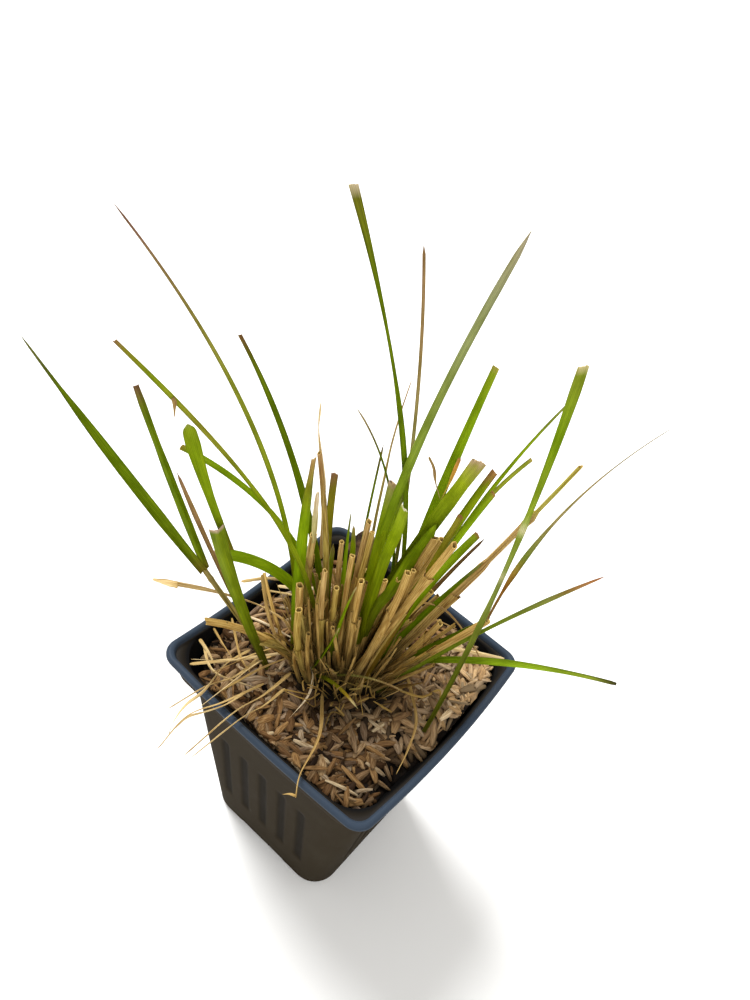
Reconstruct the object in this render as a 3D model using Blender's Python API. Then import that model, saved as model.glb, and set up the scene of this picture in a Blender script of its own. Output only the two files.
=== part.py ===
"""Potted feather reed grass: a young clump, cut back and growing again, in a square 9 cm pot.

The shape is worked out in millimetres and written to the meshes in metres, +Z up. The origin is
the middle of the pot's base, on the surface that the pot stands on. Headings are measured from +X
towards +Y, and leans from straight up.
"""

import math
from dataclasses import dataclass

import bmesh
import bpy
from mathutils import Vector, noise

MM = 0.001
GAP = 0.3  # clearance between pieces that touch
SKIN_SAG = 0.15  # how far a flat facet may sink below the true round surface

# Pot
RIM_WIDTH = 90.0
RIM_CORNER = 7.1
POT_HEIGHT = 103.0
LIP_WIDTH = 2.6
LIP_DEPTH = 2.6
COLLAR_WIDTH = 86.8
COLLAR_CORNER = 9.0
COLLAR_FOOT = 93.5
WALL_TOP = 90.5
WALL_TOP_WIDTH = 79.6
WALL_TOP_CORNER = 12.5
BASE_WIDTH = 59.0
BASE_CORNER = 10.0
BASE_EDGE = 3.2
WALL = 1.2
FLOOR_TOP = 5.2
INNER_CORNER = 12.0
LEDGE_WIDTH = 82.6
SHELF_STEP = 0.7  # how much narrower the corner shelf is at its foot
SIDE_BOWS = {"+X": 2.0, "+Y": 0.6, "-X": -1.4, "-Y": 1.1}  # how far each side of the soft rim bows out
BOW_START = 66.0
CORNER_STEPS = 4
SIDE_STEPS = 5

# Pressed grooves in each wall
GROOVES = 5
GROOVE_PITCH = 9.3
GROOVE_WIDTH = 4.4
GROOVE_FLOOR = 2.6
GROOVE_DEPTH = 0.7
GROOVE_BOTTOM = 23.0
GROOVE_TOP = 65.0

# Arches under the sides, and the drain holes in the raised floor
ARCH_WIDTH = 32.0
ARCH_ROOF = 22.0
ARCH_HEIGHT = 3.4
DRAIN_RADIUS = 4.0
DRAIN_RING = 17.0

# Soil, mulch and crown
SOIL_TOP = 84.0
MULCH_MIDDLE = 93.4
MULCH_EDGE = 97.5
MULCH_HEAP_START = 24.0
MULCH_HEAP_END = 39.0
MULCH_LOWEST = 89.8
MULCH_SHOULDER = 88.5
MULCH_ROUGHNESS = 0.9
MULCH_RINGS = 6
MULCH_AROUND = 40
# Sunk places in the mulch: middle, depth, and how far each spreads along X and Y
MULCH_DIPS = (
    ((38.0, -16.0), 7.5, (5.0, 12.0)),
    ((35.5, -0.5), 3.0, (5.0, 5.0)),
    ((-36.0, -34.0), 5.5, (6.0, 6.0)),
    ((-36.0, 15.0), 5.0, (6.0, 8.0)),
    ((-27.0, 36.0), 2.6, (8.0, 8.0)),
)
CROWN_CENTRE = (-1.0, 1.0)
CROWN_LENGTH = 41.0
CROWN_BREADTH = 36.0
CROWN_HEADING = 30.0
CROWN_TOP = 94.7
CROWN_AROUND = 28

# Shoots
FOOT_LEVEL = CROWN_TOP + GAP
BEND_POWER = 1.4  # a shoot bends more towards its tip
LEAF_STEPS = 10
LEAF_THICKNESS = 0.6
LEAF_FOLD = 0.16
LEAF_FOOT_WIDTH = 1.5
STEM_STEPS = 3
STEM_SIDES = 8
BORE_DEPTH = 4.0
BORE_SHARE = 0.55
STRAW_SIDES = 5
STRAW_STEPS = 9


@dataclass(frozen=True)
class Shoot:
    """A leaf or a stem: where it starts and which way it grows, in millimetres and degrees."""

    name: str
    foot: tuple
    heading: float
    lean: float
    droop: float
    swing: float
    length: float
    width: float
    tip: float = 0.85
    level: float = FOOT_LEVEL
    material: str = "green_leaf"
    rise: float = 0.45
    roll: float = 0.0


LEAVES = (
    Shoot("leaf_broad_left", (-45.2, -26.6), 225, 29.5, -2, -2.5, 96, 3.6, 0.12, 130.2, roll=-60),
    Shoot("leaf_dark_cut_left", (-44.6, -24.4), 245, 15.5, -1.5, 6.5, 81, 2.7, 0.65, 130.2, roll=80),
    Shoot("leaf_browned_left", (-25.5, -27), 225, 20, -2.5, -0.5, 65, 1.6, 0.6, 124.4, roll=-70),
    Shoot("leaf_rounded_left", (-28.5, -32), 225, 18, -5.5, -0.5, 48, 3.6, 0.8, 157.8, roll=-75),
    Shoot("leaf_folded_front", (-18.5, -19.5), 240, 18, -6, -0.5, 78, 4.2, 1.0, MULCH_MIDDLE + 0.9, roll=85),
    Shoot("leaf_banded_right", (35.5, -0.5), 81.5, 12, 2.5, 45, 142, 3.0, 0.85, MULCH_MIDDLE - 1.0, rise=0.95),
    Shoot("shoot_thin_right", (34.5, 19), 43.5, 3, 34, -2.5, 88, 1.8, 0.2, 141.2, roll=50),
    Shoot("leaf_tall_left", (-16, -7.5), 229.5, 5, 36, -17, 170.5, 1.5, 0.3, roll=-75),
    Shoot("leaf_long_cut_left", (-12, -0.5), 265, 11, 39.5, -57, 148, 1.5, 0.7, roll=-75),
    Shoot("leaf_arching_left", (-13, 3.5), 213, 9, 58, 4, 101, 1.9, 0.7, roll=-60),
    Shoot("leaf_folded_left", (-15.5, 0.5), 216, 7, 77, 15, 64, 3.7, 0.95, roll=-60),
    Shoot("leaf_dark_left", (-15, 7), 172, 18, 37, 3, 112, 2.5, 0.5, roll=-35),
    Shoot("shoot_browned_back", (-13.5, 5.5), 192, 10, -8, 1, 77, 2.6, 0.8, roll=-65),
    Shoot("leaf_broad_inner", (-16.5, -9.5), 237, 3.4, 2.2, 73, 99, 2.9, 0.6, roll=40),
    Shoot("leaf_tallest", (3.5, 20.5), 238, 3.2, 26.5, -52, 169, 2.2, 1.0, rise=1.0, roll=-60),
    Shoot("leaf_reddish_thin", (4, 14), 128, 21, 22.5, 13.5, 142, 1.4, 0.8, material="dry_leaf"),
    Shoot("leaf_faded_right", (-4, 11), 48, -3, 23, 23, 163, 2.5, 0.4, roll=55),
    Shoot("leaf_striped_right", (5, 12), 101, 8.5, 14, -4, 117, 3.4, 0.65),
    Shoot("leaf_thin_back", (7.5, 14), 83, 13, 32, -10, 117, 1.4, 0.6),
    Shoot("leaf_curved_back", (9.5, 14.5), 108, 23, 30.5, -39, 89, 1.6),
    Shoot("leaf_torn_right", (-4, 4), 40, 12, 4, 1, 102, 4.2, 1.0, roll=60),
    Shoot("leaf_browned_right", (5.5, 16), 96, 25.5, 14.5, -11.5, 77, 3.0, 0.8),
    Shoot("leaf_short_right", (7, 6.5), 43, 8.5, 14.5, -3, 77, 2.5, 0.8, roll=55),
    Shoot("leaf_reddened_right", (14, 1), 27, 26, 10.5, -0.5, 99, 1.5, 0.5, roll=50),
    Shoot("leaf_low_right", (9, 12), 3, 38, 37.5, 14, 87, 2.1, 0.65, roll=45),
)

STEMS = (
    Shoot("culm_forked_left", (-21.5, -15.5), 205, 37.5, -1.5, -3.5, 43, 2.4, 1.0, MULCH_MIDDLE + 1.1),
    Shoot("culm_jointed_right", (9, 8.5), 70, 34, -13, -18, 103, 2.8, 0.6, material="cut_stem"),
    Shoot("cut_stem_01", (-8.5, -10.5), 229, 13, -9.5, 0, 48, 3.2, material="cut_stem"),
    Shoot("cut_stem_02", (-5.5, -12.5), 249, 20, -20, 0, 45, 3.0, material="cut_stem"),
    Shoot("cut_stem_03", (-11, -5.5), 196, 12.5, -13.5, 0, 61, 3.1, material="cut_stem"),
    Shoot("cut_stem_04", (-7, -6), 243, 11.5, -13, 0, 49, 3.0, material="cut_stem"),
    Shoot("cut_stem_05", (-4, -8), 244, 9, -6, 0, 59, 3.0, material="cut_stem"),
    Shoot("cut_stem_06", (-10, 0), 209, 5.5, 7, 1, 92, 2.8, material="cut_stem"),
    Shoot("cut_stem_07", (-6, -2.5), 285, 10, -1.5, 0, 51, 2.8, material="cut_stem"),
    Shoot("cut_stem_08", (-6.5, 1.5), 216, 7, -3.5, 0, 59, 3.0, material="cut_stem"),
    Shoot("cut_stem_09", (1.5, -1), 269, 8, -6.5, 0, 55, 3.0, material="cut_stem"),
    Shoot("cut_stem_10", (-2, -2), 106, 2, -0.5, 0, 69, 2.6, material="cut_stem"),
    Shoot("cut_stem_11", (-3, 1), 164, 4, -4.5, 0, 70, 3.0, material="cut_stem"),
    Shoot("cut_stem_12", (2, 2.5), 335, 4, 0, 0, 53, 3.0, material="cut_stem"),
    Shoot("cut_stem_13", (1, 6), 350, 6, 3.5, 0, 53, 2.8, material="cut_stem"),
    Shoot("cut_stem_14", (6.5, 4), 35, 8.5, -8, 0, 58, 3.0, material="cut_stem"),
    Shoot("cut_stem_15", (4, 7), 35, 5.5, 5.5, 0, 70, 3.0, material="cut_stem"),
    Shoot("cut_stem_16", (-3, 7), 44, 22, -12, 0, 65, 3.0, material="cut_stem"),
    Shoot("cut_stem_17", (0.5, 13), 84, 36, -4, 0, 51, 3.0, material="cut_stem"),
    Shoot("cut_stem_18", (5.5, -0.5), 32, 10.5, 5, 0, 78, 3.0, material="cut_stem"),
    Shoot("cut_stem_19", (0.5, 9), 27, 21, -2, 0, 46, 3.0, material="cut_stem"),
    Shoot("cut_stem_leaning_right", (11, 1.5), 36, 35, -5, 1, 54, 3.2, material="cut_stem"),
    Shoot("cut_stem_frayed_right", (11, 5.5), 47, 28, -8, 1, 36, 2.8, material="cut_stem"),
    Shoot("cut_stem_arching_left", (-11.5, -9), 226, 39, 35.5, 4, 43, 3.0, material="cut_stem"),
)

# Dead strands, by the points that each passes through
@dataclass(frozen=True)
class Straw:
    """A loose dead strand: the points that it passes through and its section, in millimetres."""

    name: str
    points: tuple
    width: float
    tip: float = 0.5
    flatness: float = 1.0


STRAWS = (
    Straw("straw_left_1", ((-23, -18, 95.8), (-22, -32, 99), (-23, -43.5, 104.8), (-24, -58, 107)), 1.6),
    Straw("straw_left_2", ((-14, -26, 97.5), (-15, -43.5, 104.8), (-19, -55, 105), (-20, -66, 97)), 1.3),
    Straw("straw_left_3", ((-11, -16, 96.8), (-10, -30, 99.8), (-10, -44, 104.9), (-10, -64, 104)), 1.6),
    Straw("straw_left_4", ((-8, -22, 97), (-7, -33, 100.2), (-7, -44, 104.8), (-8, -63, 104)), 1.2),
    Straw("straw_front", ((2, -14, 97), (13, -28, 100.2), (19, -43.8, 105), (23, -50, 104)), 1.2),
    Straw("straw_flat_tip", ((-13, -2, 97), (-30, -8, 106), (-43, -20, 114), (-56, -36, 122)), 2.0, 1.0, 0.5),
)

# Bark lump
BARK_FOOT = (-26.8, 34.6, 96.0)
BARK_TOP = (-28.0, 41.5, 111.0)
BARK_BREADTH = 9.6
BARK_DEPTH = 5.2
BARK_ROUGHNESS = 0.22
BARK_RINGS = 9
BARK_SIDES = 10


def rounded_square(half, radius, bows=(0.0, 0.0, 0.0, 0.0)):
    """Return the points of a rounded square, anticlockwise from the +X side's lower end."""
    points = []
    straight = half - radius
    for side, bow in enumerate(bows):
        turn = math.radians(90 * side)
        cos_turn, sin_turn = math.cos(turn), math.sin(turn)
        local = []
        for step in range(1, SIDE_STEPS):
            share = 2 * step / SIDE_STEPS - 1
            local.append((half + bow * (1 - share * share), straight * share))
        for step in range(CORNER_STEPS + 1):
            angle = math.radians(90 * step / CORNER_STEPS)
            local.append((straight + radius * math.cos(angle), straight + radius * math.sin(angle)))
        points += [(x * cos_turn - y * sin_turn, x * sin_turn + y * cos_turn) for x, y in local]
    return points


def bows_at(height):
    """Return how far the four sides bow out at a height: all of it at the rim, none lower down."""
    share = max(0.0, min(1.0, (height - BOW_START) / (POT_HEIGHT - BOW_START)))
    return [bow * share * share for bow in SIDE_BOWS.values()]


def wall_half(height):
    """Return the half width of the outside of the tapered wall at a height."""
    share = height / WALL_TOP
    return (BASE_WIDTH + (WALL_TOP_WIDTH - BASE_WIDTH) * share) / 2


def wall_corner(height):
    """Return the corner radius of the outside of the tapered wall at a height."""
    return BASE_CORNER + (WALL_TOP_CORNER - BASE_CORNER) * height / WALL_TOP


def inner_half(height):
    """Return the half width of the inside of the pot at a height."""
    return min(wall_half(min(height, WALL_TOP)) - WALL, LEDGE_WIDTH / 2)


def shelf_half(height):
    """Return the half width of the inside of the pot at a height between the wall and the lip."""
    if height <= WALL_TOP - 0.5:
        return inner_half(height)
    ledge = LEDGE_WIDTH / 2
    if height <= COLLAR_FOOT:
        share = (height - WALL_TOP + 0.5) / (COLLAR_FOOT - WALL_TOP + 0.5)
        return inner_half(WALL_TOP) + (ledge - SHELF_STEP - inner_half(WALL_TOP)) * share
    return ledge - SHELF_STEP


def inner_corner(height):
    """Return the corner radius of the inside of the pot at a height."""
    return wall_corner(min(height, WALL_TOP)) - WALL


def material(name, colour, roughness, metallic=0.0):
    """Make a plain material from a linear colour."""
    made = bpy.data.materials.new(name)
    made.use_nodes = True
    shader = made.node_tree.nodes["Principled BSDF"]
    shader.inputs["Base Color"].default_value = (*colour, 1.0)
    shader.inputs["Roughness"].default_value = roughness
    shader.inputs["Metallic"].default_value = metallic
    return made


def mesh_object(name, points, faces, finish, smooth_angle=35.0):
    """Make an object from points in millimetres and its faces, with the normals turned outwards."""
    mesh = bpy.data.meshes.new(name)
    mesh.from_pydata([Vector(point) * MM for point in points], [], faces)
    body = bmesh.new()
    body.from_mesh(mesh)
    bmesh.ops.recalc_face_normals(body, faces=body.faces)
    body.to_mesh(mesh)
    body.free()
    mesh.shade_smooth()
    mesh.set_sharp_from_angle(angle=math.radians(smooth_angle))
    made = bpy.data.objects.new(name, mesh)
    made.data.materials.append(finish)
    bpy.context.scene.collection.objects.link(made)
    return made


def skin_rings(rings, closed_ends=True):
    """Return the points and faces of a surface through rings of equal length."""
    around = len(rings[0])
    points = [point for ring in rings for point in ring]
    faces = []
    for ring in range(len(rings) - 1):
        for step in range(around):
            low = ring * around + step
            low_next = ring * around + (step + 1) % around
            faces.append((low, low_next, low_next + around, low + around))
    if closed_ends:
        faces.append(tuple(range(around)))
        faces.append(tuple(range(len(points) - around, len(points))))
    return points, faces


def cut(body, cutter):
    """Take the cutter's shape out of the body, and keep the cutter as a hidden wire guide."""
    cutter.hide_render = True
    cutter.display_type = "WIRE"
    modifier = body.modifiers.new(cutter.name, "BOOLEAN")
    modifier.operation = "DIFFERENCE"
    modifier.solver = "EXACT"
    modifier.object = cutter


def groove_cutter(finish):
    """Make one tapered wedge for each groove of the four walls, all in one cutter."""
    points, faces = [], []
    reach = 2.0  # how far the wedge stands out of the wall
    flare = (GROOVE_WIDTH - GROOVE_FLOOR) / GROOVE_DEPTH / 2
    out_half = GROOVE_FLOOR / 2 + flare * (GROOVE_DEPTH + reach)
    for side in range(4):
        turn = math.radians(90 * side)
        cos_turn, sin_turn = math.cos(turn), math.sin(turn)
        for groove in range(GROOVES):
            middle = (groove - (GROOVES - 1) / 2) * GROOVE_PITCH
            rings = []
            for depth, half in ((GROOVE_DEPTH, GROOVE_FLOOR / 2), (-reach, out_half)):
                slope = half - GROOVE_FLOOR / 2
                ring = []
                for height, across in (
                    (GROOVE_BOTTOM - slope, -half * 0.7),
                    (GROOVE_BOTTOM - slope, half * 0.7),
                    (GROOVE_BOTTOM - slope + 1.2, half),
                    (GROOVE_TOP + slope - 1.2, half),
                    (GROOVE_TOP + slope, half * 0.7),
                    (GROOVE_TOP + slope, -half * 0.7),
                    (GROOVE_TOP + slope - 1.2, -half),
                    (GROOVE_BOTTOM - slope + 1.2, -half),
                ):
                    x = wall_half(height) - depth
                    y = middle + across
                    ring.append((x * cos_turn - y * sin_turn, x * sin_turn + y * cos_turn, height))
                rings.append(ring)
            ring_points, ring_faces = skin_rings(rings)
            faces += [tuple(index + len(points) for index in face) for face in ring_faces]
            points += ring_points
    return mesh_object("groove_cutter", points, faces, finish)


def arch_cutter(name, turned, finish):
    """Make the prism that lifts the middle of two opposite sides off the ground."""
    reach = RIM_WIDTH / 2
    rings = []
    for along in (-reach, reach):
        ring = []
        for across, height in (
            (-ARCH_WIDTH / 2 - 1, -1.0),
            (ARCH_WIDTH / 2 + 1, -1.0),
            (ARCH_ROOF / 2, ARCH_HEIGHT),
            (-ARCH_ROOF / 2, ARCH_HEIGHT),
        ):
            ring.append((across, along, height) if turned else (along, across, height))
        rings.append(ring)
    return mesh_object(name, *skin_rings(rings), finish)


def drain_cutter(finish):
    """Make the pegs that cut the middle drain hole and the four round it."""
    points, faces = [], []
    spots = [(0.0, 0.0)] + [
        (DRAIN_RING * math.cos(math.radians(90 * n)), DRAIN_RING * math.sin(math.radians(90 * n)))
        for n in range(4)
    ]
    for x, y in spots:
        rings = [
            [
                (
                    x + DRAIN_RADIUS * math.cos(math.radians(30 * n)),
                    y + DRAIN_RADIUS * math.sin(math.radians(30 * n)),
                    height,
                )
                for n in range(12)
            ]
            for height in (-2.0, FLOOR_TOP + 2.0)
        ]
        ring_points, ring_faces = skin_rings(rings)
        faces += [tuple(index + len(points) for index in face) for face in ring_faces]
        points += ring_points
    return mesh_object("drain_cutter", points, faces, finish)


def build_pot(finish):
    """Build the moulded pot: wall, collar, rolled lip, corner shelf, feet, grooves and drains."""
    rim = RIM_WIDTH / 2
    collar = COLLAR_WIDTH / 2
    lip_foot = POT_HEIGHT - LIP_DEPTH
    inner_lip = rim - LIP_WIDTH
    ledge = LEDGE_WIDTH / 2
    base = BASE_WIDTH / 2
    profile = (
        (0.0, base - BASE_EDGE * 0.9, BASE_CORNER - 2.0),
        (BASE_EDGE * 0.3, base - BASE_EDGE * 0.25, BASE_CORNER - 0.6),
        (BASE_EDGE, wall_half(BASE_EDGE), wall_corner(BASE_EDGE)),
        (BOW_START, wall_half(BOW_START), wall_corner(BOW_START)),
        (WALL_TOP, wall_half(WALL_TOP), WALL_TOP_CORNER),
        (COLLAR_FOOT, collar - 0.6, COLLAR_CORNER + 0.6),
        (lip_foot, collar, COLLAR_CORNER),
        (lip_foot + 0.2, rim - 0.3, RIM_CORNER),
        (lip_foot + 1.3, rim, RIM_CORNER),
        (POT_HEIGHT - 0.4, rim - 0.5, RIM_CORNER - 0.4),
        (POT_HEIGHT, rim - 1.3, RIM_CORNER - 1.0),
        (POT_HEIGHT - 0.4, inner_lip + 0.4, RIM_CORNER - 1.8),
        (POT_HEIGHT - 1.9, inner_lip, RIM_CORNER - 2.2),
        (POT_HEIGHT - 2.3, ledge, INNER_CORNER),
        (COLLAR_FOOT, ledge - SHELF_STEP, INNER_CORNER),
        (WALL_TOP - 0.5, inner_half(WALL_TOP - 0.5), inner_corner(WALL_TOP)),
        (BOW_START, inner_half(BOW_START), inner_corner(BOW_START)),
        (FLOOR_TOP, inner_half(FLOOR_TOP), inner_corner(FLOOR_TOP)),
    )
    rings = [
        [(x, y, height) for x, y in rounded_square(half, radius, bows_at(height))]
        for height, half, radius in profile
    ]
    pot = mesh_object("pot", *skin_rings(rings), finish, smooth_angle=30.0)
    cut(pot, arch_cutter("arch_cutter_x", False, finish))
    cut(pot, arch_cutter("arch_cutter_y", True, finish))
    cut(pot, groove_cutter(finish))
    cut(pot, drain_cutter(finish))
    return pot


def build_soil(finish):
    """Build the block of soil and roots that fills the pot up to the mulch."""
    rings = []
    for height, inset in ((FLOOR_TOP + GAP, 1.0), (FLOOR_TOP + 2.0, 0.0), (BOW_START, 0.0), (SOIL_TOP, 0.0)):
        half = inner_half(height) - GAP - SKIN_SAG - inset
        bows = [min(0.0, bow) for bow in bows_at(height)]
        outline = rounded_square(half, inner_corner(height) - GAP, bows)
        rings.append([(x, y, height) for x, y in outline])
    return mesh_object("potting_soil", *skin_rings(rings), finish)


def mulch_height(x, y):
    """Return the height of the mulch surface: level round the crown, heaped by the wall, sunk in places."""
    out = (max(abs(x), abs(y)) - MULCH_HEAP_START) / (MULCH_HEAP_END - MULCH_HEAP_START)
    out = min(1.0, max(0.0, out))
    level = MULCH_MIDDLE + (MULCH_EDGE - MULCH_MIDDLE) * out * out * (3 - 2 * out)
    broad = noise.noise(Vector((x * 0.11, y * 0.11, 4.7)))
    fine = noise.noise(Vector((x * 0.27, y * 0.27, 1.3)))
    for middle, depth, spread in MULCH_DIPS:
        along = (x - middle[0]) / spread[0]
        across = (y - middle[1]) / spread[1]
        level -= depth * math.exp(-(along**2 + across**2) / 2)
    return max(MULCH_LOWEST, level + MULCH_ROUGHNESS * (broad + 0.5 * fine))


def crown_outline(shrink):
    """Return the crown's oval outline, drawn in from its full size by a distance."""
    heading = math.radians(CROWN_HEADING)
    points = []
    for step in range(CROWN_AROUND):
        angle = 2 * math.pi * step / CROWN_AROUND
        along = (CROWN_LENGTH / 2 - shrink) * math.cos(angle)
        across = (CROWN_BREADTH / 2 - shrink) * math.sin(angle)
        points.append(
            (
                CROWN_CENTRE[0] + along * math.cos(heading) - across * math.sin(heading),
                CROWN_CENTRE[1] + along * math.sin(heading) + across * math.cos(heading),
            )
        )
    return points


def build_mulch(finish):
    """Build the layer of hulls and shreds: an uneven top, and an oval hole where the crown stands."""
    clear = GAP + 0.4  # from the wall, with room for its flat facets
    bows = [min(0.0, bow) for bow in bows_at(POT_HEIGHT)]
    heading = math.radians(CROWN_HEADING)
    outer, shoulder, foot, hole = [], [], [], []
    for step in range(MULCH_AROUND):
        angle = 2 * math.pi * step / MULCH_AROUND
        direction = (math.cos(angle), math.sin(angle))
        for row, height in ((shoulder, MULCH_SHOULDER), (foot, SOIL_TOP + GAP)):
            reach = square_reach(inner_half(height) - clear, inner_corner(height), bows, direction)
            row.append((*reach, height))
        height = mulch_height(*shoulder[-1][:2])
        reach = square_reach(shelf_half(height) - clear, INNER_CORNER, bows, direction)
        outer.append((*reach, height))
        local = angle - heading
        along, across = CROWN_LENGTH / 2 + GAP + SKIN_SAG, CROWN_BREADTH / 2 + GAP + SKIN_SAG
        reach = along * across / math.hypot(across * math.cos(local), along * math.sin(local))
        hole.append((CROWN_CENTRE[0] + reach * direction[0], CROWN_CENTRE[1] + reach * direction[1]))
    rings = [[(x, y, SOIL_TOP + GAP) for x, y in hole]]
    for ring in range(MULCH_RINGS):
        share = ring / MULCH_RINGS
        row = []
        for near, far in zip(hole, outer):
            x = near[0] + (far[0] - near[0]) * share
            y = near[1] + (far[1] - near[1]) * share
            row.append((x, y, mulch_height(x, y)))
        rings.append(row)
    rings += [outer, shoulder, foot]
    points, faces = skin_rings(rings, closed_ends=False)
    last = len(points) - MULCH_AROUND
    for step in range(MULCH_AROUND):
        after = (step + 1) % MULCH_AROUND
        faces.append((step, after, last + after, last + step))
    return mesh_object("mulch", points, faces, finish)


def square_reach(half, radius, bows, direction):
    """Return where a ray from the middle meets the rounded square."""
    outline = rounded_square(half, radius, bows)
    best = None
    for first, second in zip(outline, outline[1:] + outline[:1]):
        span = (second[0] - first[0], second[1] - first[1])
        spread = direction[0] * span[1] - direction[1] * span[0]
        if abs(spread) < 1e-9:
            continue
        along = (first[0] * span[1] - first[1] * span[0]) / spread
        share = (first[0] * direction[1] - first[1] * direction[0]) / spread
        if along > 0 and -1e-6 <= share <= 1 + 1e-6:
            best = (direction[0] * along, direction[1] * along)
    return best


def build_crown(finish):
    """Build the woody base of the clump, which stands on the soil and shows through the mulch."""
    rings = [
        [(x, y, height) for x, y in crown_outline(shrink)]
        for height, shrink in (
            (SOIL_TOP + GAP, 1.5),
            (SOIL_TOP + 3.0, 0.0),
            (CROWN_TOP - 1.2, 0.0),
            (CROWN_TOP, 1.2),
        )
    ]
    return mesh_object("crown", *skin_rings(rings), finish)


def centreline(shoot, steps):
    """Return the points of a shoot's middle line and the direction at each point."""
    length = shoot.length / steps
    point = Vector((*shoot.foot, shoot.level))
    points, directions = [point], []
    for step in range(steps + 1):
        share = step / steps
        lean = math.radians(shoot.lean + shoot.droop * share**BEND_POWER)
        heading = math.radians(shoot.heading + shoot.swing * share)
        flat = math.sin(lean)
        directions.append(Vector((flat * math.cos(heading), flat * math.sin(heading), math.cos(lean))))
    for step in range(steps):
        point = point + (directions[step] + directions[step + 1]) * (length / 2)
        points.append(point)
    return points, directions


def cross_axes(direction, heading):
    """Return the level axis across a shoot and the axis square to both."""
    across = Vector((-math.sin(heading), math.cos(heading), 0.0))
    return across, direction.cross(across).normalized()


def rolled(across, up, degrees):
    """Turn the two axes of a blade's section about its direction."""
    turn = math.radians(degrees)
    return across * math.cos(turn) + up * math.sin(turn), up * math.cos(turn) - across * math.sin(turn)


def level_ring(ring, direction, height):
    """Slide a ring's points along a direction until all of them are at one height."""
    return [point + direction * ((height - point.z) / direction.z) for point in ring]


def leaf_width(shoot, share):
    """Return a blade's width: rolled narrow inside the clump, broad in the open, narrower at the tip."""
    rise = min(1.0, share / shoot.rise)
    rise = rise * rise * (3 - 2 * rise)
    width = LEAF_FOOT_WIDTH + (shoot.width - LEAF_FOOT_WIDTH) * rise
    fall = max(0.0, (share - 0.6) / 0.4)
    return width * (1 - (1 - shoot.tip) * fall**1.5)


def build_leaf(shoot, finish):
    """Build a blade: a thin ribbon with a shallow fold along its middle."""
    points, directions = centreline(shoot, LEAF_STEPS)
    rings = []
    for step, (point, direction) in enumerate(zip(points, directions)):
        share = step / LEAF_STEPS
        heading = math.radians(shoot.heading + shoot.swing * share)
        across, up = rolled(*cross_axes(direction, heading), shoot.roll)
        half = leaf_width(shoot, share) / 2
        thick = LEAF_THICKNESS / 2
        fold = LEAF_FOLD * half
        rings.append(
            [
                point + across * side * half * reach + up * (lift * thick + rise * fold)
                for side, reach, lift, rise in (
                    (-1, 1, 1, 1),
                    (0, 0, 1, 0),
                    (1, 1, 1, 1),
                    (1, 1, -1, 1),
                    (0, 0, -1, 0),
                    (-1, 1, -1, 1),
                )
            ]
        )
    rings[0] = level_ring(rings[0], directions[0], shoot.level)
    return mesh_object(shoot.name, *skin_rings(rings), finish)


def build_stem(shoot, finish):
    """Build a cut culm: a round stem with a hollow at its cut end."""
    points, directions = centreline(shoot, STEM_STEPS)
    last = points[-1] - directions[-1] * BORE_DEPTH
    sections = [(point, direction, 1.0) for point, direction in zip(points, directions)]
    sections.append((points[-1], directions[-1], BORE_SHARE))
    sections.append((last, directions[-1], BORE_SHARE))
    rings = []
    for point, direction, share in sections:
        across, up = cross_axes(direction, math.radians(shoot.heading))
        radius = shoot.width / 2 * share
        ring = []
        for side in range(STEM_SIDES):
            angle = 2 * math.pi * side / STEM_SIDES
            ring.append(point + across * radius * math.cos(angle) + up * radius * math.sin(angle))
        rings.append(ring)
    rings[0] = level_ring(rings[0], directions[0], shoot.level)
    return mesh_object(shoot.name, *skin_rings(rings), finish)


def smooth_path(points, steps):
    """Return points along a smooth curve that passes through the given ones."""
    guides = [Vector(point) for point in points]
    guides = [guides[0] * 2 - guides[1], *guides, guides[-1] * 2 - guides[-2]]
    spans = len(points) - 1
    path = []
    for step in range(steps + 1):
        place = spans * step / steps
        span = min(int(place), spans - 1)
        share = place - span
        before, start, end, after = guides[span : span + 4]
        path.append(
            start
            + (end - before) * (share / 2)
            + (before * 2 - start * 5 + end * 4 - after) * (share**2 / 2)
            + (start * 3 - before - end * 3 + after) * (share**3 / 2)
        )
    return path


def build_straw(straw, finish):
    """Build a dead strand that lies over the mulch and the rim, thinner towards its tip."""
    path = smooth_path(straw.points, STRAW_STEPS)
    rings = []
    for step, point in enumerate(path):
        ahead = path[min(step + 1, STRAW_STEPS)] - path[max(step - 1, 0)]
        across, up = cross_axes(ahead.normalized(), math.atan2(ahead.y, ahead.x))
        radius = straw.width / 2 * (1 - (1 - straw.tip) * (step / STRAW_STEPS) ** 2)
        ring = []
        for side in range(STRAW_SIDES):
            angle = 2 * math.pi * side / STRAW_SIDES
            ring.append(
                point + across * radius * math.cos(angle) + up * radius * straw.flatness * math.sin(angle)
            )
        rings.append(ring)
    return mesh_object(straw.name, *skin_rings(rings), finish)


def build_bark(finish):
    """Build the lump of bark that leans in the back corner, rough and narrower at both ends."""
    foot, top = Vector(BARK_FOOT), Vector(BARK_TOP)
    rings = []
    for ring in range(BARK_RINGS + 1):
        share = ring / BARK_RINGS
        swell = math.sin(math.pi * (0.18 + 0.66 * share)) ** 0.6
        row = []
        for side in range(BARK_SIDES):
            angle = 2 * math.pi * side / BARK_SIDES
            rough = 1 + BARK_ROUGHNESS * noise.noise(Vector((math.cos(angle), math.sin(angle), 3 * share)) * 1.7)
            centre = foot.lerp(top, share)
            row.append(
                centre
                + Vector((math.cos(angle) * BARK_BREADTH, math.sin(angle) * BARK_DEPTH, 0)) * (swell * rough / 2)
            )
        rings.append(row)
    return mesh_object("bark_lump", *skin_rings(rings), finish, smooth_angle=25.0)


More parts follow.
